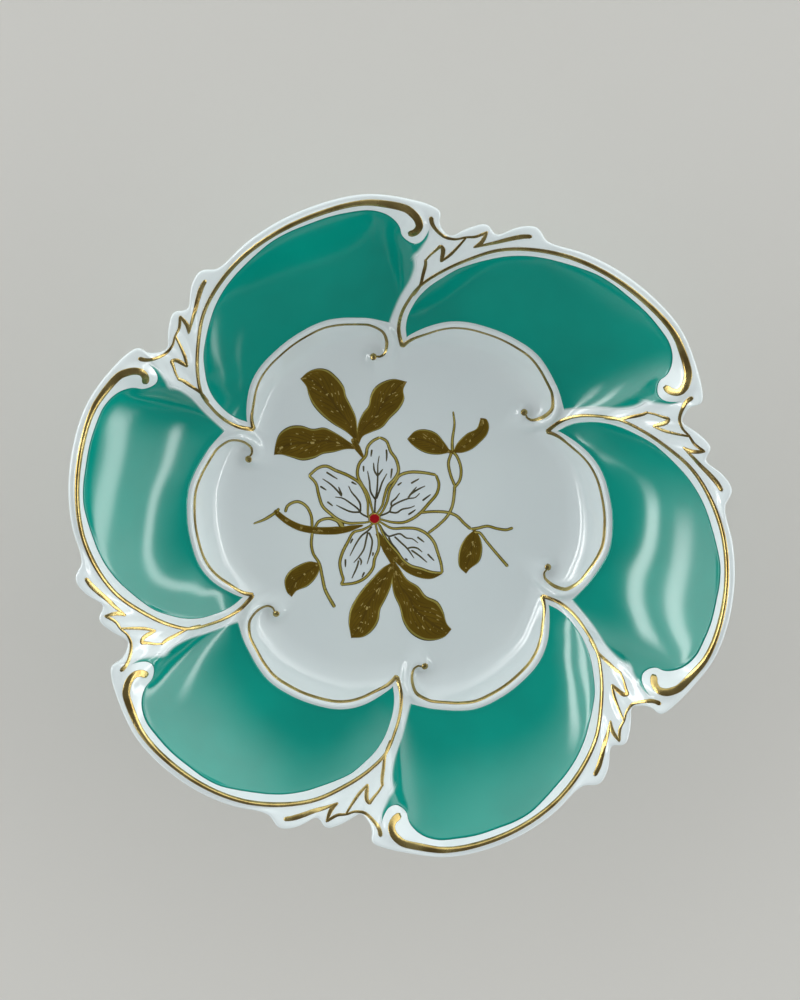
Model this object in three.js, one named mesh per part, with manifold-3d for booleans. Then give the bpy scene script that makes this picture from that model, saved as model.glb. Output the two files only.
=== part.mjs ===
// Porcelain dish with six overlapping petals, green enamel fields and gilded mouldings.
// Millimetres, +Z up. The origin lies on the dish's axis, on the surface that the foot ring stands on.

import * as THREE from 'three';
import { mergeVertices } from 'three/addons/utils/BufferGeometryUtils.js';
import Module from 'manifold-3d';

const wasm = await Module();
wasm.setup();

// Driving dimensions of the fired body
const petalCount = 6;
const rimRadius = 138.6; // axis to the furthest point of the lip
const cuspRadius = 71.9; // axis to the inward points of the well edge
const coveWidth = 5.9; // the cusps to the flat floor's edge
const floorHeight = 9; // table to the top of the floor
const floorThickness = 5;
const cuspRise = 2.5; // floor to the inward points of the well edge
const rimRise = 48.5; // those points to the highest stretch of the rim line
const wellBand = 2.7; // white band between the well edge and the enamel
const wellDrop = 2.2; // step from the well edge down into the petal
const rimBand = 3.6; // white band between the rim line and the enamel
const rimDrop = 2.6; // roll of the rim line above the petal
const lipBand = 2.6; // roll of the rim line on its outer side
const lipDrop = 1.2;
const lipThickness = 3.8;
const footOuterRadius = 74;
const footInnerRadius = 68;
const footHeight = 4.5;

// Driving dimensions of the fired-on decoration
const seatGap = 0.35; // clearance that keeps each layer off the curved glaze
const enamelThickness = 0.4;
const gildingThickness = 0.4;
const rimLineWidth = 2.2;
const wellLineWidth = 1.4;
const leafLineWidth = 1.3;
const eyeRadius = 2.1;
const sprayMargin = 6; // flat floor's edge to the flower spray
const sprayThickness = 0.3;
const outlineWidth = 0.9;
const stemWidth = 1.1;
const centreRadius = 2.1;
const petalGap = 2; // bare floor between the flower's centre and its petals
const lineClearance = 0.8; // white glaze between a gold line and the enamel beside it

// Shape numbers: shares and powers that bend the surfaces between those sizes
const scoop = 0.45; // how far a petal sags below the straight line from well edge to rim
const tailSoftness = 5; // how late along the petal its end bends up to the next ridge
const floorLobe = 0.5; // how far the flat floor follows the lobes of the well edge
const coveBend = 1.7;
const underBend = 1.4;
const widestBand = 1 / 3; // most of a narrow petal's width that one band may take

const step = THREE.MathUtils.degToRad(360 / petalCount);
const floorRadius = cuspRadius - coveWidth;
const sprayReach = floorRadius - sprayMargin; // scale of the flower spray on the floor
const cuspHeight = floorHeight + cuspRise;
const recessHeight = floorHeight - floorThickness;
const mergeDistance = 1e-3; // points closer than this are one point

// Each outline point is [degrees from its cusp, reach from cusp to rim, lift from cusp to rim].
// The rim line starts at the cusp, climbs as the petal's ridge and runs round to the next petal.
const rimLine = [
  [0, 0, 0], [-1.3, 0.106, 0.08], [-0.9, 0.211, 0.175], [0.9, 0.324, 0.33], [3.15, 0.425, 0.475],
  [7.2, 0.529, 0.6], [12, 0.636, 0.68], [17.2, 0.747, 0.76], [23, 0.829, 0.835], [30, 0.898, 0.93],
  [37.5, 0.94, 0.99], [45, 0.964, 1], [51.5, 0.973, 0.96], [56.5, 0.945, 0.91], [60, 0.895, 0.885],
  [62.3, 0.831, 0.855], [63.7, 0.767, 0.8],
];
// The well edge, with one point facing each point of the rim line.
const wellEdge = [
  [0, 0, 0], [1.5, 0.034, 0.03], [3.4, 0.067, 0.065], [6, 0.102, 0.1], [9.2, 0.145, 0.155],
  [13.5, 0.189, 0.2], [18, 0.216, 0.237], [23, 0.231, 0.254], [28, 0.243, 0.258], [33, 0.249, 0.254],
  [37.5, 0.25, 0.243], [42, 0.232, 0.206], [46.5, 0.205, 0.171], [50.5, 0.18, 0.14], [54, 0.133, 0.103],
  [57.2, 0.069, 0.045], [60, 0, 0],
];
// The inner edge of the leaf that covers the end of the petal before it.
const leafEdge = [
  [1.8, 0.489, 0.536], [1.8, 0.564, 0.62], [2.1, 0.625, 0.69], [2.9, 0.699, 0.753],
];
// The lip from one notch past the two leaf points and the long lobe to the petal's tip and the next notch.
const lipEdge = [
  [7.6, 0.774, 0.78], [9.6, 0.813, 0.82], [12, 0.856, 0.86], [13.8, 0.877, 0.87], [16.1, 0.832, 0.84],
  [18.2, 0.897, 0.88], [20.6, 0.945, 0.91], [22.6, 0.946, 0.91], [24.6, 0.904, 0.9], [27.2, 0.91, 0.91],
  [30.8, 0.939, 0.95], [38, 0.975, 1], [45.2, 0.994, 1.01], [51.5, 1, 0.98], [56, 0.979, 0.94],
  [59.8, 0.951, 0.93], [62.6, 0.934, 0.94], [64.7, 0.897, 0.95], [65.1, 0.862, 0.9], [65.6, 0.831, 0.86],
  [66.2, 0.805, 0.83], [66.9, 0.786, 0.8], [67.6, 0.774, 0.78],
];
// Where the ridge meets the leaf: its place in rimLine.
const leafJoint = 4;
// How many columns the mesh has between neighbouring rim points: the leaf's stretch is the finest.
const columnsPerSpan = [1, 1, 1, 1, 2, 2, 2, 2, 2, 1, 1, 1, 1, 1, 1, 1];

// Placing and joining

function place([degrees, reach, lift]) {
  const angle = THREE.MathUtils.degToRad(degrees);
  const radius = cuspRadius + reach * (rimRadius - cuspRadius);
  return new THREE.Vector3(radius * Math.sin(angle), radius * Math.cos(angle), cuspHeight + lift * rimRise);
}

function turned(point, turns) {
  return point.clone().applyAxisAngle(new THREE.Vector3(0, 0, 1), -turns * step);
}

function curveThrough(points) {
  return new THREE.CatmullRomCurve3(points.map((point) => place(point)), false, 'centripetal');
}

// Faces between neighbouring rows of points, facing up where the rows run outwards and clockwise.
function addGrid(positions, rows, facingDown = false) {
  for (let j = 0; j + 1 < rows.length; j += 1) {
    for (let k = 0; k + 1 < rows[j].length; k += 1) {
      const [a, b, c, d] = [rows[j][k], rows[j + 1][k], rows[j + 1][k + 1], rows[j][k + 1]];
      addFace(positions, facingDown ? [a, b, c] : [a, c, b]);
      addFace(positions, facingDown ? [a, c, d] : [a, d, c]);
    }
  }
}

function addFace(positions, corners) {
  if (corners.some((corner, i) => corner.distanceTo(corners[(i + 1) % corners.length]) < mergeDistance)) {
    return;
  }
  for (const corner of corners) {
    positions.push(corner.x, corner.y, corner.z);
  }
}

function toManifold(geometry) {
  const bare = geometry.clone();
  bare.deleteAttribute('normal');
  bare.deleteAttribute('uv');
  const plain = mergeVertices(bare, mergeDistance);
  const vertProperties = new Float32Array(plain.attributes.position.array);
  const triVerts = new Uint32Array(plain.index.array);
  return new wasm.Manifold(new wasm.Mesh({ numProp: 3, vertProperties, triVerts }));
}

function toGeometry(manifold) {
  const mesh = manifold.getMesh();
  const geometry = new THREE.BufferGeometry();
  geometry.setAttribute('position', new THREE.BufferAttribute(new Float32Array(mesh.vertProperties), 3));
  geometry.setIndex(new THREE.BufferAttribute(new Uint32Array(mesh.triVerts), 1));
  geometry.computeVertexNormals();
  return geometry;
}

// The petal: a net between the well edge, the rim line and the next petal's ridge and leaf

const columnStations = [0];
columnsPerSpan.forEach((count, span) => {
  for (let k = 1; k <= count; k += 1) {
    columnStations.push((span + k / count) / columnsPerSpan.length);
  }
});
const ridgeColumns = columnStations.findIndex((station) => station >= leafJoint / columnsPerSpan.length);
const rimCurve = curveThrough(rimLine);
const wellCurve = curveThrough(wellEdge);
const rimPoints = columnStations.map((station) => rimCurve.getPoint(station));
const wellPoints = columnStations.map((station) => wellCurve.getPoint(station));
const leafPoints = leafEdge.map((point) => place(point));
const petalEnd = rimPoints.at(-1);
const tailEdge = [...rimPoints.slice(0, ridgeColumns + 1), ...leafPoints].map((point) => turned(point, 1));
tailEdge.push(petalEnd);
const petalRows = tailEdge.length - 1;

// The share of the way from the well edge to the rim line at each row, with a row at each band's edge.
function rowShares(width) {
  const inner = Math.min(wellBand / width, widestBand);
  const outer = 1 - Math.min(rimBand / width, widestBand);
  const shares = [0];
  for (let j = 1; j < petalRows; j += 1) {
    shares.push(THREE.MathUtils.lerp(inner, outer, (j - 1) / (petalRows - 2)));
  }
  return [...shares, 1];
}

// A column's points scoop down from the straight line, and the mouldings at its ends stand above the scoop.
function petalColumn(start, end) {
  const width = Math.max(start.distanceTo(end), mergeDistance);
  const slack = Math.min(1, (width * widestBand) / (wellBand + rimBand));
  return rowShares(width).map((share, j) => {
    const point = start.clone().lerp(end, share);
    const bent = share - scoop * slack * share * (1 - share);
    point.z = THREE.MathUtils.lerp(start.z, end.z, bent);
    if (j > 0 && j < petalRows) {
      point.z -= slack * (wellDrop * (1 - share) + rimDrop * share);
    }
    return point;
  });
}

const lastColumn = petalColumn(wellPoints.at(-1), petalEnd);
const tailShift = tailEdge.map((point, j) => point.clone().sub(lastColumn[j]));
const petalNet = columnStations.map((station, k) => {
  const bend = station ** tailSoftness;
  const column = petalColumn(wellPoints[k], rimPoints[k]);
  return column.map((point, j) => point.addScaledVector(tailShift[j], bend));
});

// The lip and leaf: a net from the rim line and the leaf's inner edge out to the edge of the dish

const lipInner = [...rimPoints.slice(ridgeColumns), ...tailEdge.slice(ridgeColumns, -1).reverse()];
const lipOuter = lipEdge.map((point) => place(point));
const lipNet = lipInner.map((point, k) => {
  const width = point.distanceTo(lipOuter[k]);
  const roll = Math.min(lipBand / width, widestBand);
  return [0, roll, (1 + roll) / 2, 1].map((share, j) => {
    const spot = point.clone().lerp(lipOuter[k], share);
    if (j === 1 || j === 2) {
      spot.z -= lipDrop;
    }
    return spot;
  });
});

// The well: a cove from the flat floor up to the well edge

const coveShares = [0, 0.35, 0.7, 1];
const floorPoints = wellPoints.map((point) => {
  const outward = new THREE.Vector3(point.x, point.y, 0);
  const radius = floorRadius + floorLobe * (outward.length() - cuspRadius);
  return outward.setLength(radius).setZ(floorHeight);
});
const coveRows = coveShares.map((share) => wellPoints.map((point, k) => {
  const spot = floorPoints[k].clone().lerp(point, share);
  spot.z = THREE.MathUtils.lerp(floorHeight, point.z, share ** coveBend);
  return spot;
}));

// The underside: a bowl from the lip down to the foot ring, which is open inside

const underShares = [1, 0.66, 0.33, 0];
const underRows = underShares.map((share) => lipOuter.map((point) => {
  const outward = new THREE.Vector3(point.x, point.y, 0);
  const edgeRadius = outward.length();
  const spot = outward.setLength(THREE.MathUtils.lerp(footOuterRadius, edgeRadius, share));
  return spot.setZ(THREE.MathUtils.lerp(footHeight, point.z - lipThickness, share ** underBend));
}));
const footProfile = [
  [footOuterRadius, footHeight], [footOuterRadius, 0], [footInnerRadius, 0], [footInnerRadius, recessHeight],
];
const footRows = footProfile.map(([radius, height]) => lipOuter.map((point) => {
  return new THREE.Vector3(point.x, point.y, 0).setLength(radius).setZ(height);
}));

function transposed(net) {
  return net[0].map((_, j) => net.map((column) => column[j]));
}

function makeBody() {
  const positions = [];
  const sector = [];
  addGrid(sector, coveRows);
  addGrid(sector, transposed(petalNet));
  addGrid(sector, transposed(lipNet));
  addGrid(sector, [lipOuter, ...underRows]);
  addGrid(sector, footRows);
  const floorCentre = new THREE.Vector3(0, 0, floorHeight);
  const recessCentre = new THREE.Vector3(0, 0, recessHeight);
  addGrid(sector, [floorPoints.map(() => floorCentre), floorPoints]);
  addGrid(sector, [footRows.at(-1), lipOuter.map(() => recessCentre)]);
  for (let turns = 0; turns < petalCount; turns += 1) {
    for (let i = 0; i < sector.length; i += 3) {
      const point = turned(new THREE.Vector3(sector[i], sector[i + 1], sector[i + 2]), turns);
      positions.push(point.x, point.y, point.z);
    }
  }
  const geometry = new THREE.BufferGeometry();
  geometry.setAttribute('position', new THREE.Float32BufferAttribute(positions, 3));
  const closed = mergeVertices(geometry, mergeDistance);
  closed.computeVertexNormals();
  return closed;
}

const bodyGeometry = makeBody();

// Decoration: each layer lies just above the glaze and follows it

// The height of the glaze at a place seen from above.
function glazeHeight(x, y) {
  const corners = bodyGeometry.index.array;
  const spots = bodyGeometry.attributes.position;
  const corner = (i) => new THREE.Vector3().fromBufferAttribute(spots, corners[i]);
  const shares = new THREE.Vector3();
  let height = 0;
  for (let i = 0; i < corners.length; i += 3) {
    const [a, b, c] = [corner(i), corner(i + 1), corner(i + 2)];
    const from = [a, b, c].map((point) => point.clone().setZ(0));
    const inside = THREE.Triangle.getBarycoord(new THREE.Vector3(x, y, 0), ...from, shares);
    if (inside && Math.min(shares.x, shares.y, shares.z) > -mergeDistance) {
      height = Math.max(height, a.z * shares.x + b.z * shares.y + c.z * shares.z);
    }
  }
  return height;
}

// A closed layer of even thickness over a net of points that lie on the glaze.
function layerOver(rows, thickness) {
  const raised = (height) => rows.map((row) => row.map((point) => point.clone().setZ(point.z + height)));
  const low = raised(seatGap);
  const high = raised(seatGap + thickness);
  const border = (net) => [
    ...net[0],
    ...net.slice(1).map((row) => row.at(-1)),
    ...net.at(-1).slice(0, -1).reverse(),
    ...net.slice(0, -1).map((row) => row[0]).reverse(),
  ];
  const positions = [];
  addGrid(positions, high);
  addGrid(positions, low, true);
  addGrid(positions, [border(low), border(high)]);
  const geometry = new THREE.BufferGeometry();
  geometry.setAttribute('position', new THREE.Float32BufferAttribute(positions, 3));
  return mergeVertices(geometry, mergeDistance);
}

// The two edges of a line of paint about a path, narrowing at its ends and square to each corner.
function edgesOf(path, width) {
  const endShare = 0.5;
  const sharpest = 0.6;
  const directions = path.slice(1).map((point, i) => point.clone().sub(path[i]).normalize());
  return [1, -1].map((side) => path.map((point, i) => {
    const entering = directions[Math.max(i - 1, 0)];
    const leaving = directions[Math.min(i, directions.length - 1)];
    const along = entering.clone().add(leaving).normalize();
    const atEnd = i === 0 || i === path.length - 1;
    const reach = (width / 2) * (atEnd ? endShare : 1) / Math.max(along.dot(entering), sharpest);
    return new THREE.Vector2(-along.y, along.x).multiplyScalar(side * reach).add(point);
  }));
}

// A row of points on the glaze, lifted where the glaze stands above the straight line between them.
function onGlaze(row) {
  const points = row.map(({ x, y }) => new THREE.Vector3(x, y, glazeHeight(x, y)));
  const lifts = points.map(() => 0);
  for (let i = 0; i + 1 < points.length; i += 1) {
    for (const share of [0.25, 0.5, 0.75]) {
      const between = points[i].clone().lerp(points[i + 1], share);
      const excess = glazeHeight(between.x, between.y) - between.z;
      lifts[i] = Math.max(lifts[i], excess);
      lifts[i + 1] = Math.max(lifts[i + 1], excess);
    }
  }
  return points.map((point, i) => point.setZ(point.z + lifts[i]));
}

// A gold line laid on the glaze along a path.
function goldLine(path, width) {
  const [left, right] = edgesOf(path, width);
  return layerOver([right, path, left].map(onGlaze), gildingThickness);
}

function prismOf(shape) {
  const depth = rimRise + 2 * cuspHeight;
  return toManifold(new THREE.ExtrudeGeometry(shape, { depth, bevelEnabled: false }));
}

// Enamel lies on the petal's own net, inside its white bands and clear of the gold and the next ridge.
function enamelField() {
  const field = transposed(petalNet.slice(1, -1)).slice(1, -1);
  const lines = [[rimPath, rimLineWidth], [wellPath, wellLineWidth]].map(([path, width]) => {
    const [left, right] = edgesOf(path, width + 2 * lineClearance);
    return prismOf(new THREE.Shape([...left, ...right.reverse()]));
  });
  const whole = toManifold(layerOver(field, enamelThickness));
  return toGeometry(lines.reduce((enamel, line) => enamel.subtract(line), whole));
}

// A round boss of gold on the glaze.
function scrollBoss() {
  const spot = flat(scrollEye);
  const sides = 10;
  const ring = (radius) => Array.from({ length: sides + 1 }, (_, i) => {
    const angle = -(2 * Math.PI * i) / sides;
    const [x, y] = [spot.x + radius * Math.cos(angle), spot.y + radius * Math.sin(angle)];
    return new THREE.Vector3(x, y, glazeHeight(x, y));
  });
  const rows = [ring(0), ring(eyeRadius)];
  const positions = [];
  const raised = (row, height) => row.map((point) => point.clone().setZ(point.z + height));
  addGrid(positions, rows.map((row) => raised(row, seatGap + gildingThickness)));
  addGrid(positions, rows.map((row) => raised(row, seatGap)), true);
  addGrid(positions, [raised(rows[1], seatGap + gildingThickness), raised(rows[1], seatGap)]);
  const geometry = new THREE.BufferGeometry();
  geometry.setAttribute('position', new THREE.Float32BufferAttribute(positions, 3));
  return mergeVertices(geometry, mergeDistance);
}

// Gilding of one petal, as [degrees, reach] points

const rimScroll = [[61.2, 0.853], [61.6, 0.81], [61, 0.775], [59.8, 0.757]];
const wellScroll = [[54.5, 0.12], [55.7, 0.051], [55.5, -0.004], [54.4, -0.048]];
const scrollEye = [49.8, -0.047];
const leafStroke = [
  [3.6, 0.482], [3.75, 0.57], [4.2, 0.62], [6.15, 0.695], [6.85, 0.665], [6.9, 0.605], [9.2, 0.69],
  [10.55, 0.773], [12.2, 0.786], [14, 0.838], [13.75, 0.772], [12.65, 0.735], [16.7, 0.8], [20.4, 0.88],
  [21.6, 0.894],
];
const leafHook = [[10.1, 0.762], [8.8, 0.753], [7, 0.757], [5.6, 0.777], [4.1, 0.823], [3.6, 0.869]];

function flat([degrees, reach]) {
  const spot = place([degrees, reach, 0]);
  return new THREE.Vector2(spot.x, spot.y);
}

// The lines follow the mouldings' own points, then turn in their scrolls.
const cuspGap = 4; // bare glaze where the lines meet at a cusp
const alongMoulding = (points) => points.map(({ x, y }) => new THREE.Vector2(x, y))
  .filter((point) => point.distanceTo(flat([0, 0])) > cuspGap);
const scrollSteps = 8;
function lineOf(moulding, scroll) {
  const run = alongMoulding(moulding);
  const turn = new THREE.SplineCurve([run.at(-1), ...scroll.map(flat)]);
  return [...run, ...turn.getSpacedPoints(scrollSteps).slice(1)];
}
const rimPath = lineOf(rimPoints.slice(0, -2), rimScroll);
const wellPath = lineOf(wellPoints.slice(0, -3), wellScroll);

function petalLayers() {
  const leaf = [leafStroke, leafHook].map((points) => toManifold(goldLine(points.map(flat), leafLineWidth)));
  return {
    enamel_panel: [enamelField(), 'enamel'],
    rim_gilding: [goldLine(rimPath, rimLineWidth), 'gilding'],
    well_gilding: [goldLine(wellPath, wellLineWidth), 'gilding'],
    scroll_eye: [scrollBoss(), 'gilding'],
    leaf_gilding: [toGeometry(leaf[0].add(leaf[1])), 'gilding'],
  };
}

// The gilt flower spray lies on the flat floor. Its places are shares of sprayReach from the axis.

const flowerCentre = [-0.19, -0.057];
// Each petal is [direction in degrees, length, half width].
const flowerPetals = [
  [87, 0.58, 0.14], [33, 0.54, 0.14], [-41, 0.63, 0.165], [243, 0.53, 0.16], [147.5, 0.565, 0.15],
];
// Each leaf is [its base, its tip, half width].
const flowerLeaves = [
  [[-0.358, 0.5], [-0.717, 0.933], 0.108],
  [[-0.297, 0.512], [0.03, 0.933], 0.083],
  [[-0.385, 0.46], [-0.903, 0.417], 0.07],
  [[-0.1, -0.467], [-0.38, -0.917], 0.083],
  [[-0.045, -0.467], [0.367, -0.867], 0.1],
  [[0.355, 0.452], [0.045, 0.55], 0.067],
  [[0.408, 0.458], [0.6, 0.667], 0.075],
  [[0.533, -0.17], [0.46, -0.467], 0.058],
  [[-0.64, -0.4], [-0.8, -0.617], 0.058],
];
const flowerStems = [
  [[0.15, -0.067], [0.347, -0.042], [0.5, -0.1], [0.617, -0.125], [0.8, -0.137]],
  [[0.38, 0.408], [0.425, 0.267], [0.4, 0.1], [0.358, 0.013]],
  [[-0.4, -0.113], [-0.58, -0.153], [-0.782, -0.103], [-0.917, -0.025], [-1.04, -0.083]],
  [[-0.617, -0.2], [-0.598, -0.363], [-0.55, -0.52], [-0.48, -0.69]],
  [[0.58, -0.2], [0.69, -0.29], [0.757, -0.43]],
  [[0.383, 0.52], [0.365, 0.708]],
];

function onSpray([right, up]) {
  return new THREE.Vector2(right, up).multiplyScalar(sprayReach);
}

// A closed outline about the line from a base to a tip, widest where fullAt says.
function bladeOutline(base, tip, halfWidth, fullAt, steps) {
  const along = tip.clone().sub(base);
  const across = new THREE.Vector2(-along.y, along.x).normalize().multiplyScalar(halfWidth);
  const side = (sign, i) => {
    const share = i / steps;
    const swell = Math.sin(Math.PI * share ** (Math.log(0.5) / Math.log(fullAt)));
    return base.clone().addScaledVector(along, share).addScaledVector(across, sign * swell);
  };
  const points = [];
  for (let i = 0; i < steps; i += 1) {
    points.push(side(-1, i));
  }
  for (let i = steps; i > 0; i -= 1) {
    points.push(side(1, i));
  }
  return points;
}

// A petal is a gold outline round bare glaze.
function petalOutline([degrees, length, halfWidth]) {
  const steps = 8;
  const fullAt = 0.62;
  const angle = THREE.MathUtils.degToRad(degrees);
  const direction = new THREE.Vector2(Math.cos(angle), Math.sin(angle));
  const spot = (distance) => onSpray(flowerCentre).addScaledVector(direction, distance);
  const start = centreRadius + petalGap;
  const end = length * sprayReach;
  const width = halfWidth * sprayReach;
  const shape = new THREE.Shape(bladeOutline(spot(start), spot(end), width, fullAt, steps));
  const inner = [spot(start + 2 * outlineWidth), spot(end - 2 * outlineWidth), width - outlineWidth];
  shape.holes.push(new THREE.Path(bladeOutline(...inner, fullAt, steps)));
  return shape;
}

function leafBlade([base, tip, halfWidth]) {
  return new THREE.Shape(bladeOutline(onSpray(base), onSpray(tip), halfWidth * sprayReach, 0.45, 7));
}

function stemLine(points) {
  const path = new THREE.SplineCurve(points.map(onSpray)).getSpacedPoints(3 * (points.length - 1));
  const [left, right] = edgesOf(path, stemWidth);
  return new THREE.Shape([...left, ...right.reverse()]);
}

function centreDot() {
  const { x, y } = onSpray(flowerCentre);
  const sides = 16;
  const ring = new THREE.EllipseCurve(x, y, centreRadius, centreRadius).getPoints(sides);
  return new THREE.Shape(ring.slice(0, -1));
}

function layerOnFloor(shape) {
  const geometry = new THREE.ExtrudeGeometry(shape, { depth: sprayThickness, bevelEnabled: false });
  return geometry.translate(0, 0, floorHeight);
}

// The scene graph

const finishes = {
  porcelain: { color: 0xe6eaec, roughness: 0.12, metalness: 0 },
  enamel: { color: 0x068a78, roughness: 0.15, metalness: 0 },
  gilding: { color: 0x9a7a30, roughness: 0.3, metalness: 1 },
  red: { color: 0xb00a14, roughness: 0.2, metalness: 0 },
};

const dish = new THREE.Group();

function addPiece(name, geometry, finish) {
  const mesh = new THREE.Mesh(geometry, new THREE.MeshStandardMaterial(finishes[finish]));
  mesh.name = name;
  dish.add(mesh);
}

addPiece('porcelain_body', bodyGeometry, 'porcelain');

// The decoration of the first petal is repeated round the axis.
const layers = petalLayers();
for (let number = 1; number <= petalCount; number += 1) {
  for (const [name, [geometry, finish]] of Object.entries(layers)) {
    addPiece(`${name}_${number}`, geometry, finish);
    dish.children.at(-1).rotation.z = -(number - 1) * step;
  }
}

const spray = {
  flower_petal: flowerPetals.map(petalOutline),
  flower_leaf: flowerLeaves.map(leafBlade),
  flower_stem: flowerStems.map(stemLine),
};
for (const [name, shapes] of Object.entries(spray)) {
  shapes.forEach((shape, i) => addPiece(`${name}_${i + 1}`, layerOnFloor(shape), 'gilding'));
}
addPiece('flower_centre', layerOnFloor(centreDot()), 'red');

export default dish;
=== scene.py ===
"""Looks of a porcelain dish with six overlapping petals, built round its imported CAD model.

Sizes are worked out in millimetres and made into meshes in metres, in the CAD model's own frame.
One petal's surfaces are modelled once and repeated round the axis, as the dish's mould was.
"""

import math

import bpy
import numpy as np
from mathutils import Matrix, Vector


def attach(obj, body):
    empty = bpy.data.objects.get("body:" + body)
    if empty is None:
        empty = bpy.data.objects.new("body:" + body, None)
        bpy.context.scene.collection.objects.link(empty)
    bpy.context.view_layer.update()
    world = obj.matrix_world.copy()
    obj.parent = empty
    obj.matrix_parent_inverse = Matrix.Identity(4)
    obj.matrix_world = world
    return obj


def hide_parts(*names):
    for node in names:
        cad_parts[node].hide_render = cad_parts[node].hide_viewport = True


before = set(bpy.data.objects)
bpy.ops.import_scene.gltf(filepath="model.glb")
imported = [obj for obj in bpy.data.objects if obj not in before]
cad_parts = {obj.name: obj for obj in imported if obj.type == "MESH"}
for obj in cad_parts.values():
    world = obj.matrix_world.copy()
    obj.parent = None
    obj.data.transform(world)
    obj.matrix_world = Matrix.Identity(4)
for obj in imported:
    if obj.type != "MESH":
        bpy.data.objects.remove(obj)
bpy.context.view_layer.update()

MM = 0.001

# Sizes of the fired body, in millimetres
PETALS = 6
STEP = 2 * math.pi / PETALS
RIM_RADIUS = 138.6
CUSP_RADIUS = 71.9
COVE_WIDTH = 8.0
FLOOR_HEIGHT = 9.0
CUSP_HEIGHT = 11.5
RIM_RISE = 48.5
WELL_BAND = 2.7
WELL_DROP = 2.2
RIM_BAND = 3.6
RIM_DROP = 2.6
LIP_BAND = 2.6
LIP_DROP = 0.9
LIP_THICKNESS = 3.8
LIP_ROUND = 1.5
FOOT_OUTER = 74.0
FOOT_HEIGHT = 4.5
FOOT_FILLET = 0.6
BASE_HEIGHT = 4.0

# How the surfaces bend and blend, as powers and as shares of a width
SCOOP = 0.45
FLOOR_LOBE = 0.5
COVE_BEND = 2.2
UNDER_BEND = 1.4
TAIL_SOFTNESS = 8
MOULDING_ROOM = 3
MOST_MOULDING = 0.33
MOST_ROUND = 0.3
LIP_RUN_OUT = 2.5

# How far the joined body is softened: rounds, the weight of crisp places, the share of a petal that eases in
SOFTENING = 24
CRISP = 0.12
SOFT_EASE = 0.34

# The corner between a hook and the next ridge: stations, shares of the way out, and rounds of smoothing
CORNER_START, CORNER_FULL = 12.0, 14.5
CORNER_INNER, CORNER_EASE = 0.4, 0.25
CORNER_ROUNDS = 120

# Heights and half-widths of the modelled rolls, and the share of a curl over which it grows
RIM_CURL_RISE, RIM_CURL_RADIUS, RIM_CURL_GROWTH = 2.8, 3.6, 0.6
WELL_CURL_RISE, WELL_CURL_RADIUS, WELL_CURL_GROWTH = 3.8, 2.35, 0.55
# The well curl's roll moves aside from its line, at a rate that has it there in a third of its length
WELL_CURL_ASIDE, WELL_CURL_ASIDE_RATE = 0.8, 3
EYE_RISE, EYE_RADIUS = 1.5, 2.1
HOLLOW_DEPTH, HOLLOW_RADIUS, HOLLOW_AT = 3.2, 3.2, (57.2, 45.2)
STROKE_RISE, STROKE_RADIUS = 1.0, 1.7
RIB_RISE, RIB_RADIUS, RIB_TAPER = 1.3, 1.5, 0.6
ROLL_POWER = 3.5

# Outline points of one petal: degrees clockwise from its cusp, reach from cusp to rim, lift from cusp to rim
RIM_LINE = [
    (0, 0, 0), (-1.3, 0.106, 0.08), (-0.9, 0.211, 0.175), (0.9, 0.324, 0.33), (3.15, 0.425, 0.475),
    (7.2, 0.529, 0.6), (12, 0.636, 0.68), (17.2, 0.747, 0.76), (23, 0.829, 0.835), (30, 0.898, 0.93),
    (37.5, 0.94, 0.99), (45, 0.964, 1), (51.5, 0.973, 0.96), (56.5, 0.945, 0.91), (60, 0.895, 0.885),
    (62.3, 0.831, 0.855), (63.7, 0.767, 0.8),
]
WELL_EDGE = [
    (0, 0, 0), (1.5, 0.034, 0.03), (3.4, 0.067, 0.065), (6, 0.102, 0.1), (9.2, 0.145, 0.155),
    (13.5, 0.189, 0.2), (18, 0.216, 0.237), (23, 0.231, 0.254), (28, 0.243, 0.258), (33, 0.249, 0.254),
    (37.5, 0.25, 0.243), (42, 0.232, 0.206), (46.5, 0.205, 0.171), (50.5, 0.18, 0.14), (54, 0.133, 0.103),
    (57.2, 0.069, 0.045), (60, 0, 0),
]
LEAF_EDGE = [(1.8, 0.489, 0.536), (1.8, 0.564, 0.62), (2.1, 0.625, 0.69), (2.9, 0.699, 0.753)]
LEAF_JOINT = 4
# The edge of the dish past the two leaf points: station on the rim line, x, y, lift
LEAF_SILHOUETTE = [
    (4.35, 18.7, 122.8, 0.8), (4.6, 21.1, 124.8, 0.82), (4.85, 24.5, 126.1, 0.845),
    (5.15, 28.5, 127.5, 0.865), (5.4, 31.4, 127.9, 0.87), (5.6, 33.0, 126.2, 0.865),
    (5.78, 33.5, 123.9, 0.85), (6, 35.5, 122.6, 0.84), (6.25, 38.5, 124.1, 0.86), (6.5, 41.9, 126.1, 0.88),
    (6.8, 45.8, 127, 0.9), (7.15, 50.3, 127.2, 0.91), (7.4, 52.6, 125.8, 0.91), (7.65, 53.8, 123.2, 0.905),
    (7.95, 55.3, 121, 0.9), (8.2, 57.9, 119.9, 0.905),
]
# The rest of the edge: station on the rim line, then degrees, reach and lift
NOTCH = (4, 7.6, 0.774, 0.78)
LOBE_SILHOUETTE = [
    (8.5, 27.2, 0.926, 0.9), (9, 30.8, 0.963, 0.935), (10, 38, 1.003, 0.975), (11, 45.2, 1.024, 0.985),
    (12, 51.5, 1.03, 0.955), (13, 56, 1.009, 0.92), (14, 59.8, 0.982, 0.91), (15, 62.8, 0.958, 0.92),
    (16, 65.3, 0.918, 0.94), (17, 65.2, 0.868, 0.9), (18, 65.6, 0.831, 0.86), (19, 66.2, 0.805, 0.83),
    (20, 66.9, 0.786, 0.8), (21, 67.6, 0.774, 0.78),
]
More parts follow.
